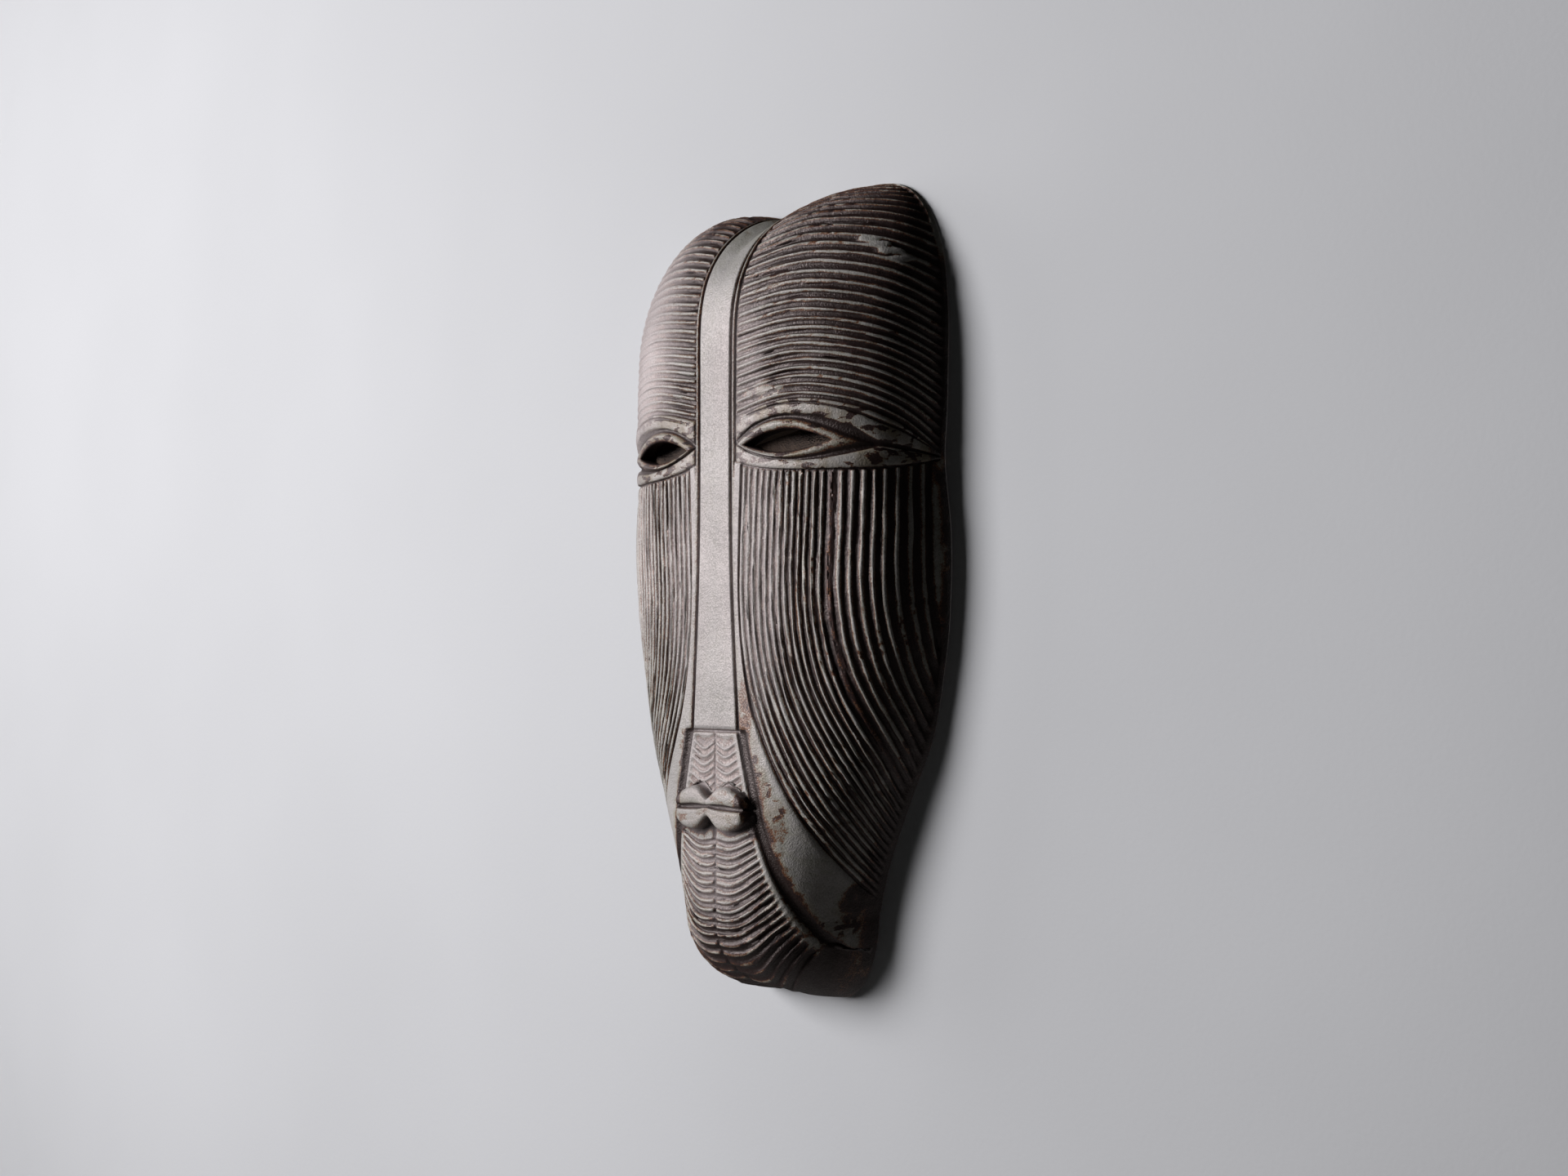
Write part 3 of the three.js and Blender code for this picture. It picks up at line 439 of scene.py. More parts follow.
SMOOTH_SPOTS = (
    ((0.0685, -0.0312, -0.0162), (0.005, 0.01, 0.0018), 4.0),
    ((0.0725, -0.0285, -0.019), (0.005, 0.01, 0.0019), 4.0),
    ((0.0765, -0.0255, -0.022), (0.005, 0.01, 0.002), 4.0),
    ((0.08, -0.0225, -0.0255), (0.004, 0.01, 0.0018), 4.0),
    ((0.031, -0.059, -0.083), (0.016, 0.012, 0.004), 0.7),
)


def between(a, b, t):
    """The value at a share of the way from a to b."""
    return a + (b - a) * t


def ease(t):
    """A smooth step from 0 to 1."""
    u = np.clip(t, 0, 1)
    return u * u * (3 - 2 * u)


def fade(value, start, width):
    """A smooth step from 0 at a start to 1 a width further, which may be negative."""
    return ease((value - start) / width)


def through(pairs):
    """A smooth curve through a few pairs of place and value."""
    places, values = np.array(pairs, float).T
    last = len(pairs) - 1
    before, after = (np.clip(np.arange(last + 1) + step, 0, last) for step in (-1, 1))
    slopes = (values[after] - values[before]) / (places[after] - places[before])

    def curve(place):
        p = np.clip(place, places[0], places[-1])
        i = np.clip(np.searchsorted(places, p, side="left") - 1, 0, last - 1)
        span = places[i + 1] - places[i]
        t = (p - places[i]) / span
        value = between(values[i], values[i + 1], t * t * (3 - 2 * t))
        return value + span * (t * (1 - t) ** 2 * slopes[i] - t * t * (1 - t) * slopes[i + 1])

    return curve


half_width_at = through(HALF_WIDTHS)
squareness_at = through(SQUARENESS)
band_half_width_at = through(BAND_HALF_WIDTHS)
brow_at = through(BROW_LINE)
cheek_line_at = through(CHEEK_LINE)
cheek_begin_at = through(CHEEK_BEGINS)
muzzle_half_width_at = through(MUZZLE_LINE)
upper_lip_at = through(UPPER_LIP)
mouth_at = through(MOUTH)
lower_lip_at = through(LOWER_LIP)
lip_reach_at = through(LIP_REACH)
upper_swell_at = through(UPPER_LIP_PROFILE)
lower_swell_at = through(LOWER_LIP_PROFILE)


def rounded_square(angle, squareness):
    """The point of a rounded square of the given squareness in a direction."""
    s = np.clip(np.sin(angle), 0, 1)
    c = np.clip(np.cos(angle), 0, 1)
    r = 1 / (s**squareness + c**squareness) ** (1 / squareness)
    return r * s, r * c


def section_at(level, inset):
    """Height, half width and depth of the cross-section at a level, for a form inset inside."""
    level = np.asarray(level, float)
    z, half, depth = level.copy(), half_width_at(level), np.ones_like(level)
    for end in (CROWN, CHIN):
        excess = end.way * (level - end.start)
        part = np.clip(excess / end.levels, 0, 1)
        angle = RIGHT_ANGLE * (part * end.levels + end.stretch * part * part)
        angle = np.minimum(angle / (end.levels + end.stretch), RIGHT_ANGLE)
        rise, out = rounded_square(angle, end.exponent)
        corner = np.clip(1 - rise**end.corner, 0, 1) ** (1 / end.corner)
        z = np.where(excess > 0, end.start + end.way * (end.reach - inset) * rise, z)
        half = np.where(excess > 0, between(end.flat, half_width_at(end.start), corner), half)
        depth = np.where(excess > 0, out, depth)
    return z, half - inset, depth * (FACE_DEPTH - inset)


def cleft(x, z):
    """The cleft between the lobes of the crown, and the shallow one under the chin."""
    top = LOBE_RISE * (1 - np.clip(np.abs(x) / LOBE_REACH, 0, 1)) ** 2
    bottom = CHIN_LOBE_DROP * (1 - np.clip(np.abs(x) / CHIN_LOBE_REACH, 0, 1)) ** 2
    top_share = ease(1 - (CENTRE_TOP + LOBE_RISE - z) / LOBE_BLEND)
    bottom_share = ease(1 - (z - CENTRE_BOTTOM + CHIN_LOBE_DROP) / CHIN_LOBE_BLEND)
    return bottom * bottom_share - top * top_share


def smooth_point(across, level, inset=0.0):
    """Points of the smooth form: across runs from 0 at the centre line to 1 at the rim."""
    across, level = np.broadcast_arrays(np.asarray(across, float), np.asarray(level, float))
    z, half, depth = section_at(level, inset)
    side, front = rounded_square(across * RIGHT_ANGLE, squareness_at(level))
    x = half * side
    y = np.where(across >= 1, 0, -depth * front)
    return np.stack([x, y, z + cleft(x, z)], axis=-1)


def lifted_point(across, level, lift):
    """The same points moved out along the surface's normal."""
    across, level, lift = np.broadcast_arrays(
        np.asarray(across, float), np.asarray(level, float), np.asarray(lift, float)
    )
    point = smooth_point(across, level)
    if not np.any(lift):
        return point
    side_sign = np.where(across > 0.5, -1, 1)
    up_sign = np.where(level > 0.5 * (TOP_LEVEL + BOTTOM_LEVEL), -1, 1)
    side = smooth_point(across + side_sign * ACROSS_STEP, level) - point
    up = smooth_point(across, level + up_sign * LEVEL_STEP) - point
    normal = np.cross(side * side_sign[..., None], up * up_sign[..., None])
    normal[..., 0] = np.where(across == 0, 0, normal[..., 0])
    length = np.linalg.norm(normal, axis=-1, keepdims=True)
    return point + normal / np.maximum(length, TINY) * lift[..., None]


def across_at(x, level, inset=0.0):
    """The place across the face that lies a given distance from the centre line."""
    _, half, _ = section_at(level, inset)
    n = squareness_at(level)
    part = np.clip(x / half, 0, 1)
    return np.arctan2(part, (1 - part**n) ** (1 / n)) / RIGHT_ANGLE


def border_at(level):
    """The place across the face where the border strip of the rim begins."""
    _, _, depth = section_at(level, 0)
    quarter = RIGHT_ANGLE * np.maximum(RIM_BORDER_DEPTH, depth)
    return 1 - np.minimum(RIM_BORDER_MOST, RIM_BORDER / quarter)


def band_edge_at(level):
    """The place across the face where the lines beside the nose band end."""
    return across_at(band_half_width_at(level) + BAND_EDGE, level)


def muzzle_edge_at(level, inside=0.0):
    """The place across the face of the line beside the muzzle, or a little inside it."""
    return np.minimum(border_at(level), across_at(muzzle_half_width_at(level) - inside, level))


def end_steps(count, end):
    """Shares of a ridge's length, close together at its two ends."""
    ends = np.array(END_SHARES) * end
    return np.concatenate([ends, np.linspace(end, 1 - end, count + 1), 1 - ends[::-1]])


ALONG_FOREHEAD = end_steps(FOREHEAD_STEPS, FOREHEAD_END)
ALONG_CHEEK = end_steps(CHEEK_STEPS, CHEEK_BEAD)


def bead(t, begin):
    """How deep a ridge still lies at its rounded beginning."""
    u = np.clip(1 - t / begin, 0, 1)
    return 1 - np.sqrt(1 - u * u)


def drawn_line(distance):
    """The rounded section of a drawn line: 1 in its middle, and 0 from a distance of 1 on."""
    return 0.5 + 0.5 * np.cos(math.pi * np.clip(distance, 0, 1))


def lengths_along(points):
    """How far each point of a row is from its first one, along the row."""
    return np.append(0, np.cumsum(np.linalg.norm(np.diff(points, axis=0), axis=1)))


class Skin:
    """Points and faces of the right half, with what the ridges and the glaze need to know."""

    LAYERS = ("turn", "comb", "narrow", "line", "stain", "dark", "inside")

    def __init__(self):
        self.points, self.faces = [], []
        self.layers = {name: [] for name in self.LAYERS}
        self.sideways, self.known = {}, {}

    def put(self, positions, **layers):
        """Adds a row of points and gives their numbers; a point that is there already is shared."""
        positions = np.atleast_2d(positions)
        given = {
            name: np.broadcast_to(layers.get(name, 0.0), len(positions)) for name in self.LAYERS
        }
        row = []
        for i, key in enumerate(map(tuple, np.round(positions / SAME_POINT).astype(int))):
            if key not in self.known:
                self.known[key] = len(self.points)
                self.points.append(positions[i])
                for name, values in given.items():
                    self.layers[name].append(values[i])
            row.append(self.known[key])
        return row

    def pin(self, across, level, lift=0.0, **layers):
        """Adds a row of points by their places on the form."""
        return self.put(lifted_point(across, level, lift), **layers)

    def face(self, *corners):
        """Adds a face; corners that are one point count once, and a face of no area is left out."""
        ring = [c for i, c in enumerate(corners) if c != corners[i - 1]]
        if len(set(ring)) == len(ring) and len(ring) > 2:
            self.faces.append(ring)

    def fill(self, first, second):
        """Fills the strip between two rows that run the same way, the second one on the left."""
        if len(first) == len(second):
            for i in range(len(first) - 1):
                self.face(first[i], first[i + 1], second[i + 1], second[i])
            return
        a = np.array([self.points[i] for i in first])
        b = np.array([self.points[j] for j in second])
        i = j = 0
        while i < len(a) - 1 or j < len(b) - 1:
            by_first = math.dist(a[i + 1], b[j]) if i < len(a) - 1 else math.inf
            by_second = math.dist(b[j + 1], a[i]) if j < len(b) - 1 else math.inf
            if by_first <= by_second:
                self.face(first[i], first[i + 1], second[j])
                i += 1
            else:
                self.face(first[i], second[j + 1], second[j])
                j += 1

    def fill_rows(self, rows):
        """Fills between rows that run to the right and follow each other downwards."""
        for upper, lower in zip(rows, rows[1:]):
            self.fill(lower, upper)

    def note_sideways(self, rows):
        """Keeps for each point of a combed patch which way it leans when its ridge wanders."""
        numbers = np.array(rows)
        place = np.array(self.points)[numbers]
        over = np.gradient(place, axis=0)
        along = np.gradient(place, axis=1)
        along /= np.maximum(np.linalg.norm(along, axis=-1, keepdims=True), TINY)
        over -= along * np.sum(over * along, axis=-1, keepdims=True)
        over /= np.maximum(np.linalg.norm(over, axis=-1, keepdims=True), TINY)
        for number, vector in zip(numbers.ravel(), over.reshape(-1, 3)):
            self.sideways[number] = vector


def lay_band(skin):
    """The nose band with the lines beside it, as rows from the crown down."""
    offsets, cuts = np.array(BAND_LINES).T
    rows = []
    for level in np.linspace(TOP_BORDER, BAND_END, BAND_ROWS + 1):
        half = band_half_width_at(level)
        x = np.concatenate([half * np.array(BAND_SHARES), half + offsets])
        drawn = cuts * np.where(offsets > OUTER_LINE_FROM, fade(level, *OUTER_LINE_FADE), 1)
        line = np.concatenate([np.zeros(len(BAND_SHARES)), drawn])
        beside = np.where(x > half + BAND_STRIP_FROM, BAND_STRIP_DARK, 0)
        rows.append(skin.pin(across_at(x, level), level, line=line, dark=beside))
    skin.fill_rows(rows[:-1])
    return rows


def lay_forehead(skin, ridges, tip):
    """Forehead ridges as rows from the brow line up to the border of the crown."""
    count = ridges * RIDGE_SAMPLES
    t = ALONG_FOREHEAD
    rows = []
    for k in range(count + 1):
        share = k / count * (1 + FOREHEAD_FINER * (1 - (k / count) ** 2))
        begin = band_edge_at(between(brow_at(BROW_LINE[0][0]), TOP_BORDER, share))
        across = between(begin, border_at(between(brow_at(1), TOP_BORDER, share)), t)
        level = between(brow_at(across), TOP_BORDER, share)
        comb = ease((1 - t) / FOREHEAD_END) * min(1, 2 * (count - k) / RIDGE_SAMPLES)
        row = skin.pin(
            across[:-1], level[:-1], turn=k / RIDGE_SAMPLES, comb=comb[:-1],
            line=bead(t, FOREHEAD_END)[:-1], narrow=FOREHEAD_NARROW,
        )
        rows.append(row + ([tip] if k == 0 else skin.pin(across[-1], level[-1])))
    skin.note_sideways(rows[1:])
    skin.fill_rows(rows[::-1])
    return rows


def crease_height(t, rise):
    """The height of a crease at a share of the way between its corners."""
    base = between(EYE_CORNER_HEIGHT, CREASE_END_HEIGHT, t)
    return base + rise * np.sin(math.pi * np.clip(t, 0, 1) ** CREASE_LEAN)


def crease_level(across, rise):
    """The height of a crease over the place across the face, on to the tip of the lids."""
    start = band_edge_at(EYE_CORNER_HEIGHT)
    middle = across_at(CREASE_END, CREASE_END_HEIGHT)
    tail = (across - middle) / (border_at(LID_TIP) - middle)
    return np.where(
        across > middle,
        between(CREASE_END_HEIGHT, LID_TIP, tail),
        crease_height((across - start) / (middle - start), rise),
    )


def lid_cut(s, split, t):
    """How deep a lid lies between its two lines, with one more line along it where it is split."""
    edges = drawn_line(np.minimum(s, 1 - s) / LID_GROOVE)
    along = ease(t / LID_SPLIT_ENDS) * ease((1 - t) / LID_SPLIT_ENDS)
    return np.maximum(edges, along * drawn_line(abs(s - split) / LID_SPLIT_WIDTH))


def lay_lid(skin, top, bottom, shares, tip, split):
    """Rows of a lid between two lines, each given by its places across and its levels."""
    t = ALONG_FOREHEAD[:-1]
    rows = []
    for s in shares:
        across, level = (between(a, b, s)[:-1] for a, b in zip(top, bottom))
        swell = math.sin(math.pi * s) * np.sin(math.pi * np.clip(t, LID_SWELL_START, 1)) ** 0.5
        line = np.maximum(lid_cut(s, split, t), bead(t, FOREHEAD_END))
        dark = LID_TIP_DARK * fade(t, *LID_TIP_FADE)
        row = skin.pin(across, level, LID_CREST * swell, line=line, stain=EYE_STAIN, dark=dark)
        rows.append(row + [tip])
    skin.fill_rows(rows)
    return rows


def arc(start, end):
    """Places between the corners of an eye or crease, and their shares of the way."""
    u = 0.5 - 0.5 * np.cos(math.pi * np.linspace(0, 1, EYE_STEPS + 1))
    return between(start, end, u), u


def eye_arc(rise, outside):
    """One half of the outline of the eye, a distance outside it, as places in front view."""
    reach = EYE_HALF_LENGTH + outside
    grown = rise + math.copysign(outside, rise)
    x, u = arc(EYE_CENTRE - reach, EYE_CENTRE + reach)
    return x, EYE_HEIGHT + grown * np.sin(math.pi * np.clip(u, 0, 1)) ** EYE_ROUNDNESS


def lay_eye_ring(skin, crease_rise, eye_rise):
    """Rows from one crease to the edge of the eye hole, along that half of the eye."""
    crease_x, u = arc(band_half_width_at(EYE_CORNER_HEIGHT) + BAND_EDGE, CREASE_END)
    crease = crease_x, crease_height(u, crease_rise)
    edge = eye_arc(eye_rise, EYE_EDGE)
    along = np.linspace(0, 1, EYE_STEPS + 1)
    shade = between(EYE_SHADE_LEAST, 1, fade(along, *EYE_SHADE_FADE))
    rows = []
    for share, lift, cut, dark in EYE_RING:
        x, z = (between(a, b, share) for a, b in zip(crease, edge))
        place = across_at(x, z), z, lift
        rows.append(skin.pin(*place, line=cut, dark=dark * shade, stain=EYE_STAIN))
    return rows


def lay_eye_hole(skin, wall, upper_edge, lower_edge):
    """The rounded edge of the eye hole and its wall, back to the inside; gives the last loop."""
    loop = upper_edge + lower_edge[-2:0:-1]
    for outside, lift, dark, depth in EYE_HOLE:
        upper, lower = eye_arc(EYE_UPPER_RISE, outside), eye_arc(-EYE_LOWER_DROP, outside)
        x, z = (np.concatenate([a, b[-2:0:-1]]) for a, b in zip(upper, lower))
        front = lifted_point(across_at(x, z), z, lift)
        back = smooth_point(across_at(x, z, wall), z, wall)
        place = np.stack([x, between(front[:, 1], back[:, 1], depth), z], axis=-1)
        # The dark of the rings down the wall of the hole is painted shade
        ring = skin.put(place, inside=1.0 if depth == 1 else 0.0, stain=EYE_STAIN, dark=dark)
        skin.fill(ring + ring[:1], loop + loop[:1])
        loop = ring
    return loop


def cheek_places(share):
    """A line down a cheek: its places across and its levels, straight at first, then outwards."""
    t = ALONG_CHEEK
    first, last = CHEEK_BEGINS[0][1], CHEEK_BEGINS[-1][1]
    begin = float(cheek_begin_at(share))
    part = (begin - first) / (last - first)
    level = between(cheek_line_at(begin), between(CHEEK_FIRST_END, CHEEK_LAST_END, part), t)
    swept = between(begin, border_at(level), t ** between(*CHEEK_SWEEPS, part))
    lean = np.sin(math.pi * np.clip(t / between(*CHEEK_LEAN_REACH, part), 0, 1))
    return swept - between(*CHEEK_LEANS, part) * lean, level


def lay_cheek(skin, ridges):
    """Cheek ridges as rows that run down and out to the rim, the innermost one first."""
    count = ridges * RIDGE_SAMPLES
    comb, line = ease((1 - ALONG_CHEEK) / (2 * CHEEK_BEAD)), bead(ALONG_CHEEK, CHEEK_BEAD)
    rows = []
    for j in range(count - RIDGE_SAMPLES // 2 + 1):
        turn, narrow = CHEEK_TURN + j / RIDGE_SAMPLES, between(*CHEEK_NARROW, j / count)
        places = cheek_places(j / count)
        rows.append(skin.pin(*places, turn=turn, comb=comb, narrow=narrow, line=line))
    skin.note_sideways(rows)
    for inner, outer in zip(rows, rows[1:]):
        skin.fill(inner, outer)
    return rows


def garland(centre, side, sag):
    """A row that hangs like a garland between the centre line and the muzzle line."""

    def level_of(t):
        hang = np.sin(math.pi * np.clip(t * GARLAND_REACH, 0, 1)) ** GARLAND_ROUNDNESS
        return between(centre, side, t**GARLAND_RISE) - sag * hang

    return level_of


def muzzle_places(level_of):
    """Places and levels of a row from the centre line of the muzzle to the line beside it."""
    t = np.array(MUZZLE_SHARES)
    side = float(level_of(np.array([1.0]))[0])
    edge = float(muzzle_edge_at(side, MUZZLE_INSIDE))
    beside = float(muzzle_edge_at(side, 0.5 * MUZZLE_INSIDE))
    return np.append(t * edge, beside), np.append(level_of(t), side)


def muzzle_row(skin, level_of, lift=0.0, line=0.0, comb=0.0, centre_cut=0.0, **layers):
    """A row of the muzzle, with the cleft on the centre line and the line beside it cut in."""
    across, level = muzzle_places(level_of)
    x = smooth_point(across, level)[:, 0]
    line = np.maximum(line, centre_cut * np.clip(1 - x / CLEFT_WIDTH, 0, 1))
    line[-2:] = np.maximum(line[-2:], MUZZLE_LINE_CUTS)
    comb = comb * ease((x[-2] - x) / STRIP_WIDTH - STRIP_START)
    lift = np.append(lift, 0) if np.ndim(lift) else lift
    return skin.pin(across, level, lift, line=line, comb=comb, **layers)


def lay_muzzle(skin, chin_ridges):
    """Upper lip, mouth and chin, as rows from the end of the nose band down."""

    def lip_ridge(share):
        hanging_at = garland(
            between(BAND_END - LIP_STEP, LIP_RIDGES_END, share),
            between(BAND_END - LIP_STEP, LIP_RIDGES_END + LIP_RISE, share),
            LIP_SAG * min(1, 2 * LIP_RIDGES * share),
        )
        return lambda t: np.maximum(hanging_at(t), upper_lip_at(t) + LIP_GAP * (2 - share))

    def chin_ridge(share):
        side = between(CHIN_FIRST_SIDE, CHIN_LAST_SIDE, share)
        return garland(between(CHIN_FIRST, CHIN_LAST, share), side, CHIN_SAG)

    def combed(ridges, ridge, turn, stain, **layers):
        count = ridges * RIDGE_SAMPLES
        for i in range(count + 1):
            share, layers["turn"] = i / count, turn + i / RIDGE_SAMPLES
            yield muzzle_row(skin, ridge(share), stain=stain * share, **layers)

    rows = [
        muzzle_row(skin, lambda t: np.full_like(t, BAND_END - drop), line=cut)
        for drop, cut in NOSE_STEP_ROWS
    ]
    look = {"comb": LIP_COMB, "narrow": LIP_NARROW, "centre_cut": LIP_CLEFT}
    lip = list(combed(LIP_RIDGES, lip_ridge, LIP_TURN, 0.0, **look))
    lip.append(muzzle_row(skin, lambda t: upper_lip_at(t) + LIP_GAP, line=LIP_TOP_LINE))
    skin.note_sideways(lip)
    rows += lip
    reach = lip_reach_at(np.array(MUZZLE_SHARES))
    for top_at, bottom_at, swell_at, (most, *side_fade) in (
        (upper_lip_at, mouth_at, upper_swell_at, UPPER_LIP_DARK),
        (mouth_at, lower_lip_at, lower_swell_at, LOWER_LIP_DARK),
    ):
        side = most * fade(np.append(MUZZLE_SHARES, 1), *side_fade)
        for s in np.linspace(0, 1, LIP_ROWS + 1):
            dark = np.maximum(side, LIP_SHADE * float(ease(2 * s - 1)))
            lift = LIP_SWELL * float(swell_at(s)) * reach
            look = {"lift": lift, "line": lip_cut(top_at, s), "stain": LIP_STAIN, "dark": dark}
            rows.append(muzzle_row(skin, lambda t: between(top_at(t), bottom_at(t), s), **look))
    look = {"comb": 1.0, "narrow": CHIN_NARROW, "centre_cut": 1.0}
    chin = list(combed(chin_ridges, chin_ridge, CHIN_TURN, CHIN_STAIN, **look))
    skin.note_sideways(chin)
    rows += chin
    skin.fill_rows(rows)
    return rows


def lip_cut(top_at, s):
    """How deep the lines over, between and under the lips are."""
    outer = s if top_at is upper_lip_at else 1 - s
    return max(0.0, 1 - outer / LIP_LINE, 1 - ((1 - outer) / MOUTH_LINE) ** 2)


def lay_crescent(skin, first_cheek, foot):
    """The smooth crescent from beside the nose down to the rim, as rows that run outwards.

    The row at the end of the nose carries on inwards over the foot of the lines beside it. Gives
    the rows beside the nose and the rows beside the muzzle.
    """
    cheek_across, cheek_levels = cheek_places(0)
    below = np.linspace(CHEEK_FIRST_END, MUZZLE_FOOT, CRESCENT_STEPS + 1)[1:]
    levels = np.concatenate([cheek_levels, below])
    outers = np.concatenate([cheek_across, border_at(below)])
    corner = float(band_edge_at(CHEEK_LINE[0][1]))
    t = np.clip((levels - levels[0]) / (CHEEK_FIRST_END - levels[0]), 0, 1)
    starts = levels + (cheek_line_at(corner) - levels[0]) * (1 - t) ** CRESCENT_START_BLEND

    def lay_row(i, inner, inner_level, lines):
        """One row, from its start to the cheek ridge or the border; lines are cut at its start."""
        along = smooth_point(np.linspace(inner, outers[i], LENGTH_SAMPLES), levels[i])
        width = max(lengths_along(along)[-1], SAME_POINT)
        scale = min(1.0, width / CRESCENT_NARROW) / width
        outer_deep = 1.0 if levels[i] > CRESCENT_CUT_END else 0.0
        places = [(offset * scale, cut * lines) for offset, cut in CRESCENT_LINES]
        begin, end = places[-1][0], 1 - CRESCENT_OUTER[0][0] * scale
        places += [(share, 0.0) for share in np.linspace(begin, end, CRESCENT_MIDDLES)[1:-1]]
        places += [(1 - offset * scale, cut * outer_deep) for offset, cut in CRESCENT_OUTER[:-1]]
        share, line = np.array(places).T
        across, level = between(inner, outers[i], share), between(inner_level, levels[i], share)
        from_edge = share * width / CRESCENT_EDGE_WIDTH
        dark = lines * ease(2 * (1 - from_edge))
        stain = lines * ease(CRESCENT_STAIN_REACH - from_edge)
        row = skin.pin(across, level, line=line, dark=dark, stain=stain)
        return row + ([first_cheek[i]] if i < len(first_cheek) else skin.pin(outers[i], levels[i]))

    beside_nose = [
        lay_row(i, corner if i == 0 else float(band_edge_at(starts[i])), starts[i], 0.0)
        for i in np.flatnonzero(starts > BAND_END)
    ]
    turn = len(beside_nose)
    beside_nose.append(lay_row(turn, float(band_edge_at(BAND_END)), BAND_END, 0.0))
    beside_muzzle = [foot + beside_nose[-1]]
    for i in range(turn, len(levels)):
        beside_muzzle.append(lay_row(i, float(muzzle_edge_at(levels[i])), levels[i], 1.0))
    skin.fill_rows(beside_nose)
    skin.fill_rows(beside_muzzle)
    return beside_nose, beside_muzzle


def lay_chin_border(skin, last_row, foot):
    """The smooth underside of the chin, from its last ridge to the border of the rim."""
    top = muzzle_places(garland(CHIN_LAST, CHIN_LAST_SIDE, CHIN_SAG))
    side_levels = np.linspace(BOTTOM_BORDER, MUZZLE_FOOT, CHIN_SIDE_STEPS)
    under = np.linspace(0, float(border_at(BOTTOM_BORDER)), CHIN_UNDER_STEPS + 1)[:-1]
    across = np.concatenate([under, border_at(side_levels)])
    level = np.concatenate([np.full(CHIN_UNDER_STEPS, BOTTOM_BORDER), side_levels])
    length, share = (lengths_along(smooth_point(*places)) for places in ((across, level), top))
    share /= share[-1]
    low = [np.interp(share, length / length[-1], values) for values in (across, level)]
    rows = [last_row]
    for s in np.arange(1, CHIN_BORDER_ROWS + 1) / CHIN_BORDER_ROWS:
        places = [between(a, b, s) for a, b in zip(top, low)]
        row = skin.pin(
            *(values[:-1] for values in places), dark=CHIN_DARK * (1 - CHIN_DARK_FADE * s),
            stain=CHIN_STAIN, line=CHIN_LINE * (1 - s) ** 3,
        )
        end = (values[-1] for values in places)
        row += [foot] if s == 1 else skin.pin(*end, line=CHIN_LINE * (1 - s), dark=CHIN_DARK)
        rows.append(row)
    skin.fill_rows(rows)
    return rows


def border_levels(share):
    """Levels round the rim, at a share of the width of its border."""
    top = TOP_LEVEL - share * TOP_BORDER_LEVELS
    return np.linspace(top, BOTTOM_LEVEL + share * BOTTOM_BORDER_LEVELS, RIM_SIDE_STEPS + 1)


def rim_ring(skin, share, inset=0.0, flat=False, **layers):
    """A ring of points beside the rim, round the right half from top to bottom."""
    side = border_levels(share)
    part = np.arange(RIM_TOP_STEPS) / RIM_TOP_STEPS
    reach = 1 - share * (1 - border_at(side))
    across = np.concatenate([part * reach[0], reach, part[::-1] * reach[-1]])
    place = smooth_point(across, np.pad(side, RIM_TOP_STEPS, "edge"), inset)
    if flat:
        place[:, 1] = 0
    return skin.put(place, **layers)


def lay_hollow(skin, wall, eye_loop):
    """The inside of the mask: the same form one wall smaller, with a window at the eye."""
    part = np.arange(RIM_TOP_STEPS + 1) / RIM_TOP_STEPS
    rows = []
    for level in border_levels(HOLLOW_SHARE):
        across = part * (1 - HOLLOW_SHARE * (1 - border_at(level)))
        rows.append(skin.put(smooth_point(across, level, wall), inside=1.0))
    zs = [skin.points[row[0]][2] for row in rows]
    middle = min(range(len(rows)), key=lambda r: abs(zs[r] - EYE_HEIGHT))
    xs = [skin.points[number][0] for number in rows[middle]]
    reach = EYE_HALF_LENGTH + EYE_WINDOW
    c0 = max(c for c, x in enumerate(xs) if x < EYE_CENTRE - reach)
    c1 = min(c for c, x in enumerate(xs) if x > EYE_CENTRE + reach)
    r0 = max(r for r, z in enumerate(zs) if z > EYE_HEIGHT + EYE_UPPER_RISE + EYE_WINDOW)
    r1 = min(r for r, z in enumerate(zs) if z < EYE_HEIGHT - EYE_LOWER_DROP - EYE_WINDOW)
    for r in range(len(rows) - 1):
        for c in range(RIM_TOP_STEPS):
            if not (r0 <= r < r1 and c0 <= c < c1):
                skin.face(rows[r][c], rows[r][c + 1], rows[r + 1][c + 1], rows[r + 1][c])
    window = [rows[r][c0] for r in range(middle, r0, -1)]
    window += rows[r0][c0:c1] + [rows[r][c1] for r in range(r0, r1)] + rows[r1][c1:c0:-1]
    window += [rows[r][c0] for r in range(r1, middle, -1)]
    skin.fill(window + window[:1], eye_loop + eye_loop[:1])


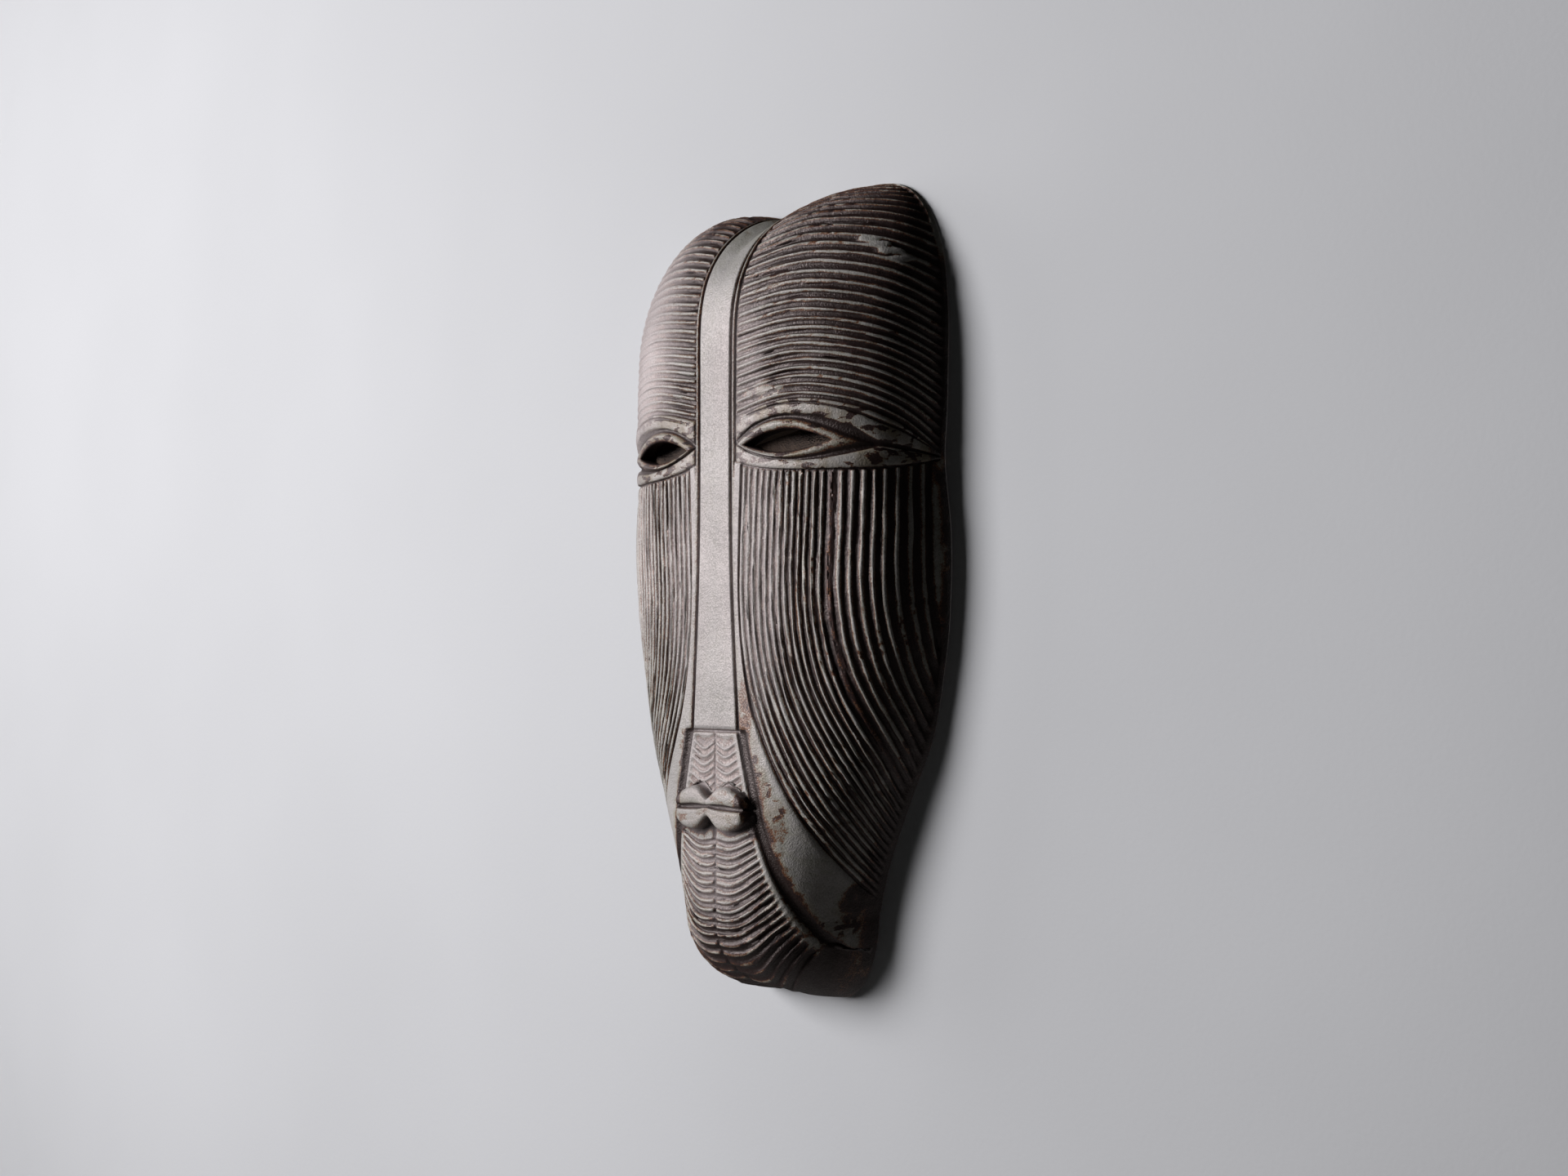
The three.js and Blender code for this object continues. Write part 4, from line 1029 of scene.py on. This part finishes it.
def lay_face(skin, sizes):
    """The whole right half of the face, patch by patch, and the inside of the mask."""

    def lid_line(start_level, height_at):
        across = between(float(band_edge_at(start_level)), lid_end, ALONG_FOREHEAD)
        return across, height_at(across)

    def firsts(rows):
        return [row[0] for row in rows]

    def lasts(rows):
        return [row[-1] for row in rows]

    tip = skin.pin(border_at(LID_TIP), LID_TIP, dark=LID_TIP_DARK)[0]
    lid_end = float(border_at(LID_TIP))
    band = lay_band(skin)
    forehead = lay_forehead(skin, sizes.forehead_ridges, tip)

    upper_ring = lay_eye_ring(skin, UPPER_CREASE_RISE, EYE_UPPER_RISE)
    lower_ring = lay_eye_ring(skin, -LOWER_CREASE_DROP, -EYE_LOWER_DROP)
    skin.fill_rows(upper_ring)
    skin.fill_rows(lower_ring[::-1])
    eye_loop = lay_eye_hole(skin, sizes.wall, upper_ring[-1], lower_ring[-1])

    tail_across = np.linspace(across_at(CREASE_END, CREASE_END_HEIGHT), lid_end, TAIL_STEPS + 1)
    tail_level = np.linspace(CREASE_END_HEIGHT, LID_TIP, TAIL_STEPS + 1)
    tail = skin.pin(tail_across[1:-1], tail_level[1:-1], line=1.0, dark=TAIL_DARK) + [tip]
    brow = lid_line(BROW_LINE[0][1], brow_at)
    upper_crease = lid_line(EYE_CORNER_HEIGHT, lambda x: crease_level(x, UPPER_CREASE_RISE))
    lower_crease = lid_line(EYE_CORNER_HEIGHT, lambda x: crease_level(x, -LOWER_CREASE_DROP))
    cheek_top = lid_line(CHEEK_LINE[0][1], cheek_line_at)
    upper_lid = lay_lid(skin, brow, upper_crease, UPPER_LID_SHARES, tip, UPPER_LID_SPLIT)
    lower_lid = lay_lid(skin, lower_crease, cheek_top, LOWER_LID_SHARES, tip, LOWER_LID_SPLIT)
    skin.fill(upper_lid[0], forehead[0])
    skin.fill(upper_ring[0] + tail, upper_lid[-1])
    skin.fill(lower_lid[0], lower_ring[0] + tail)

    cheek = lay_cheek(skin, sizes.cheek_ridges)
    beside_foot = band[-1][len(BAND_SHARES) + BAND_FOOT:]
    beside_nose, beside_muzzle = lay_crescent(skin, cheek[0], beside_foot)
    skin.fill(beside_nose[0] + firsts(cheek)[1:] + [tip], lower_lid[-1])
    levels = np.linspace(LID_TIP, CHEEK_LAST_END, CHEEK_STEPS)[1:-1]
    cheek_border = [tip] + skin.pin(border_at(levels), levels) + [cheek[-1][-1]]
    skin.fill(cheek[-1], cheek_border)

    muzzle = lay_muzzle(skin, sizes.chin_ridges)
    skin.fill(muzzle[0] + beside_foot, band[-2])
    foot = skin.pin(border_at(MUZZLE_FOOT), MUZZLE_FOOT)[0]
    chin = lay_chin_border(skin, muzzle[-1], foot)

    beside_band = firsts(forehead[::-1] + upper_lid + upper_ring[:1] + lower_lid + beside_nose)
    skin.fill(lasts(band), beside_band)
    skin.fill(lasts(muzzle + chin[1:]), firsts(beside_muzzle) + beside_muzzle[-1][1:])

    border = band[0] + forehead[-1][:-1] + lasts(forehead[::-1]) + cheek_border[1:-1]
    border += lasts(cheek[::-1] + beside_muzzle[-CRESCENT_STEPS:]) + chin[-1][-2::-1]
    rings = [border] + [rim_ring(skin, share) for share in RIM_SHARES]
    rings.append(rim_ring(skin, 0, sizes.wall - RIM_ROUNDING, flat=True, inside=1.0))
    rings.append(rim_ring(skin, HOLLOW_SHARE, sizes.wall, inside=1.0))
    for outer, inner in zip(rings, rings[1:]):
        skin.fill(outer, inner)
    lay_hollow(skin, sizes.wall, eye_loop)


def whole_mask(skin):
    """Mirrors the right half and tilts the crown, which stands a little higher on the right.

    Gives the places, layers and leanings of all points, and the faces.
    """
    place = np.array(skin.points)
    count = len(place)
    centre = np.abs(place[:, 0]) < SAME_POINT
    place[centre, 0] = 0
    twin = np.where(centre, np.arange(count), count + np.arange(count))
    used = np.zeros(2 * count, bool)
    faces = []
    for face in skin.faces:
        mirrored = [int(twin[corner]) for corner in reversed(face)]
        faces += [face, mirrored]
        used[face + mirrored] = True
    number = np.cumsum(used) - 1
    faces = [[int(number[corner]) for corner in face] for face in faces]
    lean = np.zeros((count, 3))
    for point, vector in skin.sideways.items():
        lean[point] = vector
    lean[centre, 0] = 0
    flip = np.array([-1, 1, 1])
    both = np.concatenate([place, place * flip])[used]
    both[:, 2] += CROWN_TILT * both[:, 0] * fade(both[:, 2], *CROWN_TILT_FADE)
    leaning = np.concatenate([lean, lean * flip])[used]
    layers = {name: np.tile(values, 2)[used] for name, values in skin.layers.items()}
    return both, layers, leaning, faces


def spots(place, table):
    """Soft round spots: the strongest one at each place."""
    strength = np.zeros(len(place))
    for centre, reach, most in table:
        distance = np.linalg.norm((place - centre) / reach, axis=1)
        strength = np.maximum(strength, most * ease(SPOT_EDGE * (1 - distance)))
    return strength


def paint(place, layers):
    """Where the glaze ran thick or thin: beside the rim, in the spots and in the wide groove.

    Also painted shade on the side of the rim, the crown darker towards its top, and painted sheen
    and light on the lit side.
    """
    x, y, z = place.T
    outside = 1 - layers["inside"]
    near = ease(1 + y / SHADE_WIDTH) * fade(z, *SHADE_FADE)
    # Painted shade: the side of the mask by the wall is darkened, from just below the top down
    rim = ease(1 + y / RIM_SHADE_WIDTH) * fade(z, *RIM_SHADE_FADE)
    crown = CROWN_DARK * fade(z, *CROWN_DARK_FADE)
    dark = np.maximum.reduce([layers["dark"], near, rim, crown, spots(place, DARK_SPOTS)])
    # Painted sheen and light: spots on the lit side and the front make the glaze paler and the comb
    # shallower
    frost = spots(place, LIT_SHEEN_SPOTS)
    layers["frost"] = frost * np.clip(1 - dark, 0, 1) * outside
    layers["stain"] = np.maximum(layers["stain"], spots(place, STAINS)) * outside
    layers["comb"] = layers["comb"] * np.clip(1 - spots(place, SMOOTH_SPOTS), 0, 1)
    layers["comb"] = layers["comb"] * (1 - SHEEN_SPOT_FILL * frost)
    scar = np.abs(layers["turn"] - CHEEK_TURN - SCAR_RIDGE) / SCAR_WIDTH
    scar = np.where((x > 0) & (layers["comb"] > 0.5), ease(2 * (1 - scar)), 0)
    layers["line"] = np.maximum(layers["line"], SCAR_CUT * scar)
    layers["dark"] = dark * outside - SCAR_RUST * scar * fade(z, *SCAR_RUST_FADE)


def mesh_of(name, place, layers, leaning, faces):
    """A mesh that carries the layers and the leanings as attributes, with its faces outwards."""
    mesh = bpy.data.meshes.new(name)
    mesh.from_pydata(place.tolist(), [], faces)
    for layer, values in layers.items():
        attribute = mesh.attributes.new(layer, "FLOAT", "POINT")
        attribute.data.foreach_set("value", values.astype(np.float32))
    attribute = mesh.attributes.new("sideways", "FLOAT_VECTOR", "POINT")
    attribute.data.foreach_set("vector", leaning.astype(np.float32).ravel())
    outward = bmesh.new()
    outward.from_mesh(mesh)
    bmesh.ops.recalc_face_normals(outward, faces=outward.faces)
    outward.to_mesh(mesh)
    outward.free()
    mesh.validate()
    return mesh


class Term:
    """An output of a node that can be reckoned with: each sign adds a Math node."""

    def __init__(self, graph, socket):
        self.graph, self.socket = graph, socket

    def __add__(self, other):
        return self.graph.calc("ADD", self, other)

    def __sub__(self, other):
        return self.graph.calc("SUBTRACT", self, other)

    def __rsub__(self, other):
        return self.graph.calc("SUBTRACT", other, self)

    def __mul__(self, other):
        return self.graph.calc("MULTIPLY", self, other)


class Graph:
    """A node tree with short ways to add to it; an input may be a plain value or a Term."""

    def __init__(self, tree):
        self.tree = tree

    def add(self, kind, inputs=None, output=0, **settings):
        """Adds a node and gives one of its outputs, if it has any."""
        node = self.tree.nodes.new(kind)
        for key, value in settings.items():
            setattr(node, key, value)
        for key, value in (inputs or {}).items():
            if isinstance(value, Term):
                self.tree.links.new(value.socket, node.inputs[key])
            else:
                node.inputs[key].default_value = value
        return Term(self, node.outputs[output]) if len(node.outputs) else None

    def calc(self, operation, *values):
        """A Math node."""
        return self.add("ShaderNodeMath", dict(enumerate(values)), operation=operation)

    def scaled(self, vector, by):
        """A vector or colour times a number."""
        return self.add("ShaderNodeVectorMath", {0: vector, "Scale": by}, operation="SCALE")

    def remap(self, value, *ranges):
        """A smooth step of a value from a low and a high end to 0 and 1, or to two more ends."""
        inputs = dict(enumerate((value, *ranges)))
        return self.add("ShaderNodeMapRange", inputs, interpolation_type="SMOOTHSTEP")

    def noise(self, place, scale, detail, along=None):
        """Soft noise over a place, or over a place and one more coordinate."""
        inputs = {"Vector": place, "Scale": scale, "Detail": detail}
        if along is None:
            return self.add("ShaderNodeTexNoise", inputs, noise_dimensions="3D")
        return self.add("ShaderNodeTexNoise", {**inputs, "W": along}, noise_dimensions="4D")

    def blend(self, share, first, second, **settings):
        """A mix of two colours."""
        inputs = {"Factor": share, 6: first, 7: second}
        return self.add("ShaderNodeMix", inputs, output=2, data_type="RGBA", **settings)

    def bump(self, height, strength, distance):
        """A bumpy normal."""
        inputs = {"Height": height, "Strength": strength, "Distance": distance}
        return self.add("ShaderNodeBump", inputs)


def new_material(name):
    """A material with an empty graph, and the place on the object that its nodes start from."""
    material = bpy.data.materials.new(name)
    material.use_nodes = True
    material.node_tree.nodes.clear()
    graph = Graph(material.node_tree)
    return material, graph, graph.add("ShaderNodeTexCoord", output="Object")


def carving_tree():
    """Geometry nodes that comb the ridges and cut the lines into the smooth form."""
    tree = bpy.data.node_groups.new("Carving", "GeometryNodeTree")
    for way in ("INPUT", "OUTPUT"):
        tree.interface.new_socket("Geometry", in_out=way, socket_type="NodeSocketGeometry")
    for name, value in CARVING_INPUTS.items():
        kind = SOCKETS[type(value)]
        socket = tree.interface.new_socket(name, in_out="INPUT", socket_type=kind)
        if value is not None:
            socket.default_value = value
    graph = Graph(tree)
    given = {item.name: Term(graph, item) for item in tree.nodes.new("NodeGroupInput").outputs}

    def layer(name, kind="FLOAT"):
        return graph.add("GeometryNodeInputNamedAttribute", {"Name": name}, data_type=kind)

    place = graph.add("GeometryNodeInputPosition")
    turn, comb, line, inside = (layer(name) for name in ("turn", "comb", "line", "inside"))
    seed = given["Seed"] * SEED_STEP
    along = turn * TURN_STEP + seed

    wave = graph.calc("COSINE", turn * TURN) * -0.5 + 0.5
    sharpness = layer("narrow") * CREST_NARROWING + CREST_SHARPNESS
    crest = graph.calc("POWER", graph.calc("MAXIMUM", wave, 0.0), sharpness)
    level = graph.noise(place, *HEIGHTS, along)
    lower = graph.remap(level, *LOW_RIDGES) * given["Depth Variation"]
    groove = comb * (1.0 - crest) * (1.0 - graph.remap(level, *FULL_GROOVES) * GROOVE_FILL)
    groove = graph.calc("MAXIMUM", groove, comb * (lower * crest))
    height = 1.0 - graph.calc("MAXIMUM", groove, line)
    nick = graph.remap(graph.noise(place, *NICKS, along), *NICK_RANGE)
    cluster = graph.remap(graph.noise(place, *CLUSTERS, seed), *CLUSTER_RANGE)
    nick = nick * cluster * (comb * crest)

    ripple = (graph.noise(place, *RIPPLES) - 0.5) * given["Ripple"] * (1.0 - inside)
    marks = (graph.noise(place, *FINGER_MARKS) - 0.5) * given["Finger Marks"] * inside
    depth = graph.add("ShaderNodeSeparateXYZ", {0: place}, output="Y") * -1.0
    free = (ripple + marks) * graph.remap(depth, 0.0, RIM_BORDER_DEPTH)
    sunk = graph.calc("MAXIMUM", groove * given["Ridge Depth"], line * given["Line Depth"])
    out = free - (sunk + nick * given["Nick Depth"])
    outwards = graph.scaled(graph.add("GeometryNodeInputNormal"), out)
    sway = graph.noise(place, given["Wander Scale"], WANDER_DETAIL, along) - 0.5
    aside = graph.scaled(layer("sideways", "FLOAT_VECTOR"), sway * comb * given["Wander"])
    offset = graph.add("ShaderNodeVectorMath", {0: outwards, 1: aside}, operation="ADD")

    stored = {"Name": "glaze_height", "Value": height - nick * NICK_SHADE}
    geometry = graph.add(
        "GeometryNodeStoreNamedAttribute", {"Geometry": given["Geometry"], **stored},
        data_type="FLOAT", domain="POINT",
    )
    geometry = graph.add("GeometryNodeSetPosition", {"Geometry": geometry, "Offset": offset})
    geometry = graph.add("GeometryNodeSetShadeSmooth", {"Geometry": geometry})
    geometry = graph.add("GeometryNodeRealizeInstances", {"Geometry": geometry})
    glaze = {"Geometry": geometry, "Material": given["Glaze"]}
    graph.add("NodeGroupOutput", {0: graph.add("GeometryNodeSetMaterial", glaze)})
    return tree


def carve(mesh, name, values):
    """Runs the carving on a mesh and gives the plain mesh that comes out."""
    piece = bpy.data.objects.new(name, mesh)
    bpy.context.scene.collection.objects.link(piece)
    modifier = piece.modifiers.new("Carving", "NODES")
    tree = carving_tree()
    modifier.node_group = tree
    for item in tree.interface.items_tree:
        if item.in_out == "INPUT" and item.name in values:
            modifier[item.identifier] = values[item.name]
    view = bpy.context.evaluated_depsgraph_get()
    result = bpy.data.meshes.new_from_object(piece.evaluated_get(view))
    piece.modifiers.remove(modifier)
    bpy.data.objects.remove(piece)
    return result


def glaze_material(colours):
    """Glaze that breaks pale over the crests and pools dark in the grooves."""
    material, graph, place = new_material("Ash glaze over iron")

    def layer(name):
        settings = {"attribute_name": name, "attribute_type": "GEOMETRY"}
        return graph.add("ShaderNodeAttribute", output="Fac", **settings)

    height, stain, dark, inside = (layer(n) for n in ("glaze_height", "stain", "dark", "inside"))
    soft, fine, broad = (graph.noise(place, *kind) for kind in (SOFT, FINE, BROAD))
    patch = dark * graph.remap(graph.noise(place, *PATCHES), *PATCH_RANGE)
    streaked = graph.add("ShaderNodeVectorMath", {0: place, 1: STREAK_PULL}, operation="MULTIPLY")
    streak = graph.remap(graph.noise(streaked, *STREAKS), *STREAK_RANGE)
    patch = graph.calc("MAXIMUM", patch, stain * streak)
    value = height + (soft - 0.5) * BREAK_UP + (fine - 0.5) * GRAIN - patch

    ramp = graph.add("ShaderNodeValToRGB", {"Fac": value})
    stops = ramp.socket.node.color_ramp.elements
    while len(stops) < len(GLAZE_STOPS):
        stops.new(0.5)
    for stop, (position, name) in zip(stops, GLAZE_STOPS):
        stop.position = position
        stop.color = (*getattr(colours, name), 1.0)

    blotch = stain * graph.remap(graph.noise(place, *BLOTCHES), *BLOTCH_RANGE)
    stained = graph.blend(blotch, ramp, (*colours.olive, 1.0), blend_type="MULTIPLY")
    # Painted sheen and light: the colour pales towards a light tone in the spots on the lit side
    painted_sheen = graph.blend(layer("frost") * PAINTED_SHEEN_MOST, stained, (*colours.painted_sheen, 1.0))
    cloud = graph.remap(broad, *CLOUD_RANGE) * graph.remap(fine, *SPECKLE_RANGE)
    clay = graph.scaled(tuple(colours.clay), graph.remap(soft, *CLAY_RANGE))
    gloss = graph.remap(fine, *GLOSS_RANGE)
    look = {
        "Base Color": graph.blend(inside, graph.scaled(painted_sheen, cloud), clay),
        "Roughness": graph.add(
            "ShaderNodeMix", {"Factor": inside, 2: gloss, 3: CLAY_ROUGHNESS}, data_type="FLOAT"
        ),
        "Normal": graph.bump(fine + soft * SOFT_BUMP, *GLAZE_BUMP),
        "IOR": GLAZE_IOR,
        "Specular Tint": GLAZE_TINT,
    }
    shader = graph.add("ShaderNodeBsdfPrincipled", look)
    graph.add("ShaderNodeOutputMaterial", {"Surface": shader})
    return material


def stage_material(name, colour, one_sided=False):
    """Matt paint with a faint mottle; one-sided paint can't be seen from behind."""
    material, graph, place = new_material(name)
    mottle = graph.remap(graph.noise(place, *MOTTLE), *MOTTLE_RANGE)
    look = {
        "Base Color": graph.scaled(tuple(colour), mottle),
        "Roughness": PAINT_ROUGHNESS,
        "Normal": graph.bump(graph.noise(place, *PAINT_GRAIN), *PAINT_BUMP),
    }
    shader = graph.add("ShaderNodeBsdfPrincipled", look)
    if one_sided:
        behind = graph.add("ShaderNodeNewGeometry", output="Backfacing")
        clear = graph.add("ShaderNodeBsdfTransparent")
        shader = graph.add("ShaderNodeMixShader", {0: behind, 1: shader, 2: clear})
    graph.add("ShaderNodeOutputMaterial", {"Surface": shader})
    return material


class MASK_PG_sizes(bpy.types.PropertyGroup):
    """Sizes and counts of the mask's carving."""

    forehead_ridges: bpy.props.IntProperty(
        name="Forehead Ridges", description="Combed ridges between brow and crown",
        default=31, min=4, max=60,
    )
    cheek_ridges: bpy.props.IntProperty(
        name="Cheek Ridges", description="Combed ridges on each cheek",
        default=23, min=4, max=60,
    )
    chin_ridges: bpy.props.IntProperty(
        name="Chin Ridges", description="Combed ridges that hang under the lips",
        default=18, min=4, max=40,
    )
    wall: bpy.props.FloatProperty(
        name="Wall Thickness", description="Thickness of the fired clay",
        default=0.007, min=0.004, max=0.015, **LENGTH,
    )
    ridge_depth: bpy.props.FloatProperty(
        name="Ridge Depth", description="Depth of the combed grooves",
        default=0.0014, min=0, max=0.003, **LENGTH,
    )
    line_depth: bpy.props.FloatProperty(
        name="Line Depth", description="Depth of the lines around lids, band and lips",
        default=0.0014, min=0, max=0.003, **LENGTH,
    )
    wander: bpy.props.FloatProperty(
        name="Wander", description="How far a ridge strays sideways",
        default=0.0022, min=0, max=0.006, **LENGTH,
    )
    seed: bpy.props.IntProperty(
        name="Seed", description="Picks another set of small irregularities", default=7, min=0,
    )


class MASK_PG_glaze(bpy.types.PropertyGroup):
    """Colours of the glaze, from where it pools to where it breaks on an edge."""

    pooled: bpy.props.FloatVectorProperty(
        name="Pooled", description="Glaze at the bottom of a groove",
        default=(0.014, 0.0055, 0.0045), **COLOUR,
    )
    thin: bpy.props.FloatVectorProperty(
        name="Purple Brown", description="Glaze on the flank of a groove",
        default=(0.056, 0.027, 0.024), **COLOUR,
    )
    rust: bpy.props.FloatVectorProperty(
        name="Rust", description="Thin line where the dark glaze ends",
        default=(0.21, 0.085, 0.03), **COLOUR,
    )
    tan: bpy.props.FloatVectorProperty(
        name="Tan", description="Glaze at the shoulder of a ridge",
        default=(0.24, 0.19, 0.15), **COLOUR,
    )
    pale: bpy.props.FloatVectorProperty(
        name="Pale", description="Ash glaze on the crest of a ridge",
        default=(0.36, 0.355, 0.31), **COLOUR,
    )
    palest: bpy.props.FloatVectorProperty(
        name="Palest", description="Ash glaze on the smooth places",
        default=(0.43, 0.415, 0.4), **COLOUR,
    )
    # Colour of the painted sheen and light on the side in the light
    painted_sheen: bpy.props.FloatVectorProperty(
        name="Painted Sheen", description="Glaze that is frosted over, on the side in the light",
        default=(0.52, 0.465, 0.46), **COLOUR,
    )
    olive: bpy.props.FloatVectorProperty(
        name="Olive", description="Blotches on the lids and beside the nose",
        default=(0.5, 0.4, 0.22), **COLOUR,
    )
    clay: bpy.props.FloatVectorProperty(
        name="Clay", description="Bare clay inside the mask",
        default=(0.12, 0.08, 0.055), **COLOUR,
    )


class MASK_PG_stage(bpy.types.PropertyGroup):
    """The wall, the floor and the light."""

    wall: bpy.props.FloatVectorProperty(
        name="Wall", description="Paint of the wall behind the mask",
        default=(0.56, 0.572, 0.585), **COLOUR,
    )
    floor: bpy.props.FloatVectorProperty(
        name="Floor", description="Floor below the mask",
        default=(0.7, 0.69, 0.67), **COLOUR,
    )
    key: bpy.props.FloatProperty(
        name="Window Light", description="Power of the large soft light from the far left",
        default=14.0, min=0, unit="POWER",
    )
    side: bpy.props.FloatProperty(
        name="Side Light", description="Power of the light that rakes in from the left",
        default=8.0, min=0, unit="POWER",
    )
    fill: bpy.props.FloatProperty(
        name="Fill Light", description="Power of the weak light from the right",
        default=0.1, min=0, unit="POWER",
    )
    behind: bpy.props.FloatProperty(
        name="Light Behind", description="Power of the light on the back of the mask",
        default=1.5, min=0, unit="POWER",
    )
    ambient: bpy.props.FloatProperty(
        name="Ambient", description="Strength of the even light of the room",
        default=0.01, min=0,
    )


class MASK_OT_mask(bpy.types.Operator):
    """Makes the stoneware mask in place of its CAD node."""

    bl_idname = "mask.make_mask"
    bl_label = "Mask"

    def execute(self, context):
        sizes = context.scene.mask_sizes
        skin = Skin()
        lay_face(skin, sizes)
        place, layers, leaning, faces = whole_mask(skin)
        paint(place, layers)
        blank = mesh_of("mask blank", place, layers, leaning, faces)
        values = {
            "Ridge Depth": sizes.ridge_depth,
            "Line Depth": sizes.line_depth,
            "Wander": sizes.wander,
            "Seed": sizes.seed,
            "Glaze": glaze_material(context.scene.mask_glaze),
        }
        mesh = carve(blank, "mask blank", values)
        bpy.data.meshes.remove(blank)
        if len(mesh.polygons) == 0:
            raise RuntimeError("the carving gave no mesh")
        mesh.name = "stoneware_mask"
        points = np.empty(len(mesh.vertices) * 3, np.float32)
        mesh.vertices.foreach_get("co", points)
        in_box = np.clip(points.reshape(-1, 3), CAD_LOW, CAD_HIGH)
        mesh.vertices.foreach_set("co", in_box.astype(np.float32).ravel())
        mesh.update()
        mask = bpy.data.objects.new("stoneware_mask", mesh)
        context.scene.collection.objects.link(mask)
        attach(mask, "root")
        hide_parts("mask")
        return {"FINISHED"}


def plane(name, corners, material):
    """One flat face of the stage."""
    mesh = bpy.data.meshes.new(name)
    mesh.from_pydata(corners, [], [range(len(corners))])
    mesh.materials.append(material)
    item = bpy.data.objects.new(name, mesh)
    bpy.context.scene.collection.objects.link(item)
    return item


def soft_light(name, power, place, target, size, spread, colour):
    """A rectangular light that shines from one place at another."""
    data = bpy.data.lights.new(name, "AREA")
    data.shape = "RECTANGLE"
    data.size, data.size_y = size
    data.energy = power
    data.spread = spread
    data.color = colour
    light = bpy.data.objects.new(name, data)
    light.location = place
    light.rotation_euler = (Vector(target) - Vector(place)).to_track_quat("-Z", "Y").to_euler()
    bpy.context.scene.collection.objects.link(light)


class MASK_OT_stage(bpy.types.Operator):
    """Makes the wall, the floor, the light and the camera."""

    bl_idname = "mask.make_stage"
    bl_label = "Wall, Light and Camera"

    def execute(self, context):
        scene, settings = context.scene, context.scene.mask_stage
        r, floor, up = STAGE_REACH, FLOOR_LEVEL, STAGE_HEIGHT
        upright = [(x, WALL_GAP, z) for x, z in ((-r, floor), (r, floor), (r, up), (-r, up))]
        wall = plane("wall", upright, stage_material("Wall paint", settings.wall, one_sided=True))
        # The light behind shines through the wall, and the wall sends none back to the mask.
        wall.visible_shadow = wall.visible_diffuse = wall.visible_glossy = False
        flat = [(x, y, floor) for x, y in ((-r, -r), (r, -r), (r, r), (-r, r))]
        plane("floor", flat, stage_material("Floor", settings.floor))
        for name, power, *light in LIGHTS:
            soft_light(name, getattr(settings, power), *light)
        scene.world = bpy.data.worlds.new("Room")
        scene.world.use_nodes = True
        room = scene.world.node_tree.nodes["Background"].inputs
        room["Color"].default_value = ROOM_COLOUR
        room["Strength"].default_value = settings.ambient
        scene.view_settings.view_transform = "Standard"
        lens = bpy.data.cameras.new("camera")
        lens.sensor_width = SENSOR
        lens.lens = LENS
        camera = bpy.data.objects.new("camera", lens)
        camera.location = CAMERA_PLACE
        camera.rotation_euler = (RIGHT_ANGLE + CAMERA_PITCH, 0, CAMERA_TURN)
        scene.collection.objects.link(camera)
        scene.camera = camera
        return {"FINISHED"}


class MASK_PT_panel(bpy.types.Panel):
    """Sizes, colours and the two steps that make the scene."""

    bl_idname = "MASK_PT_panel"
    bl_label = "Wall Mask"
    bl_space_type = "VIEW_3D"
    bl_region_type = "UI"
    bl_category = "Mask"

    def draw(self, context):
        for group in GROUPS:
            settings = getattr(context.scene, group)
            box = self.layout.box()
            for name in settings.__annotations__:
                box.prop(settings, name)
        self.layout.operator(MASK_OT_mask.bl_idname)
        self.layout.operator(MASK_OT_stage.bl_idname)


GROUPS = {"mask_sizes": MASK_PG_sizes, "mask_glaze": MASK_PG_glaze, "mask_stage": MASK_PG_stage}
CLASSES = (*GROUPS.values(), MASK_OT_mask, MASK_OT_stage, MASK_PT_panel)


def register():
    for item in CLASSES:
        bpy.utils.register_class(item)
    for name, group in GROUPS.items():
        setattr(bpy.types.Scene, name, bpy.props.PointerProperty(type=group))


def unregister():
    for name in GROUPS:
        delattr(bpy.types.Scene, name)
    for item in reversed(CLASSES):
        bpy.utils.unregister_class(item)


def main():
    register()
    bpy.ops.mask.make_mask()
    bpy.ops.mask.make_stage()


if __name__ == "__main__":
    main()
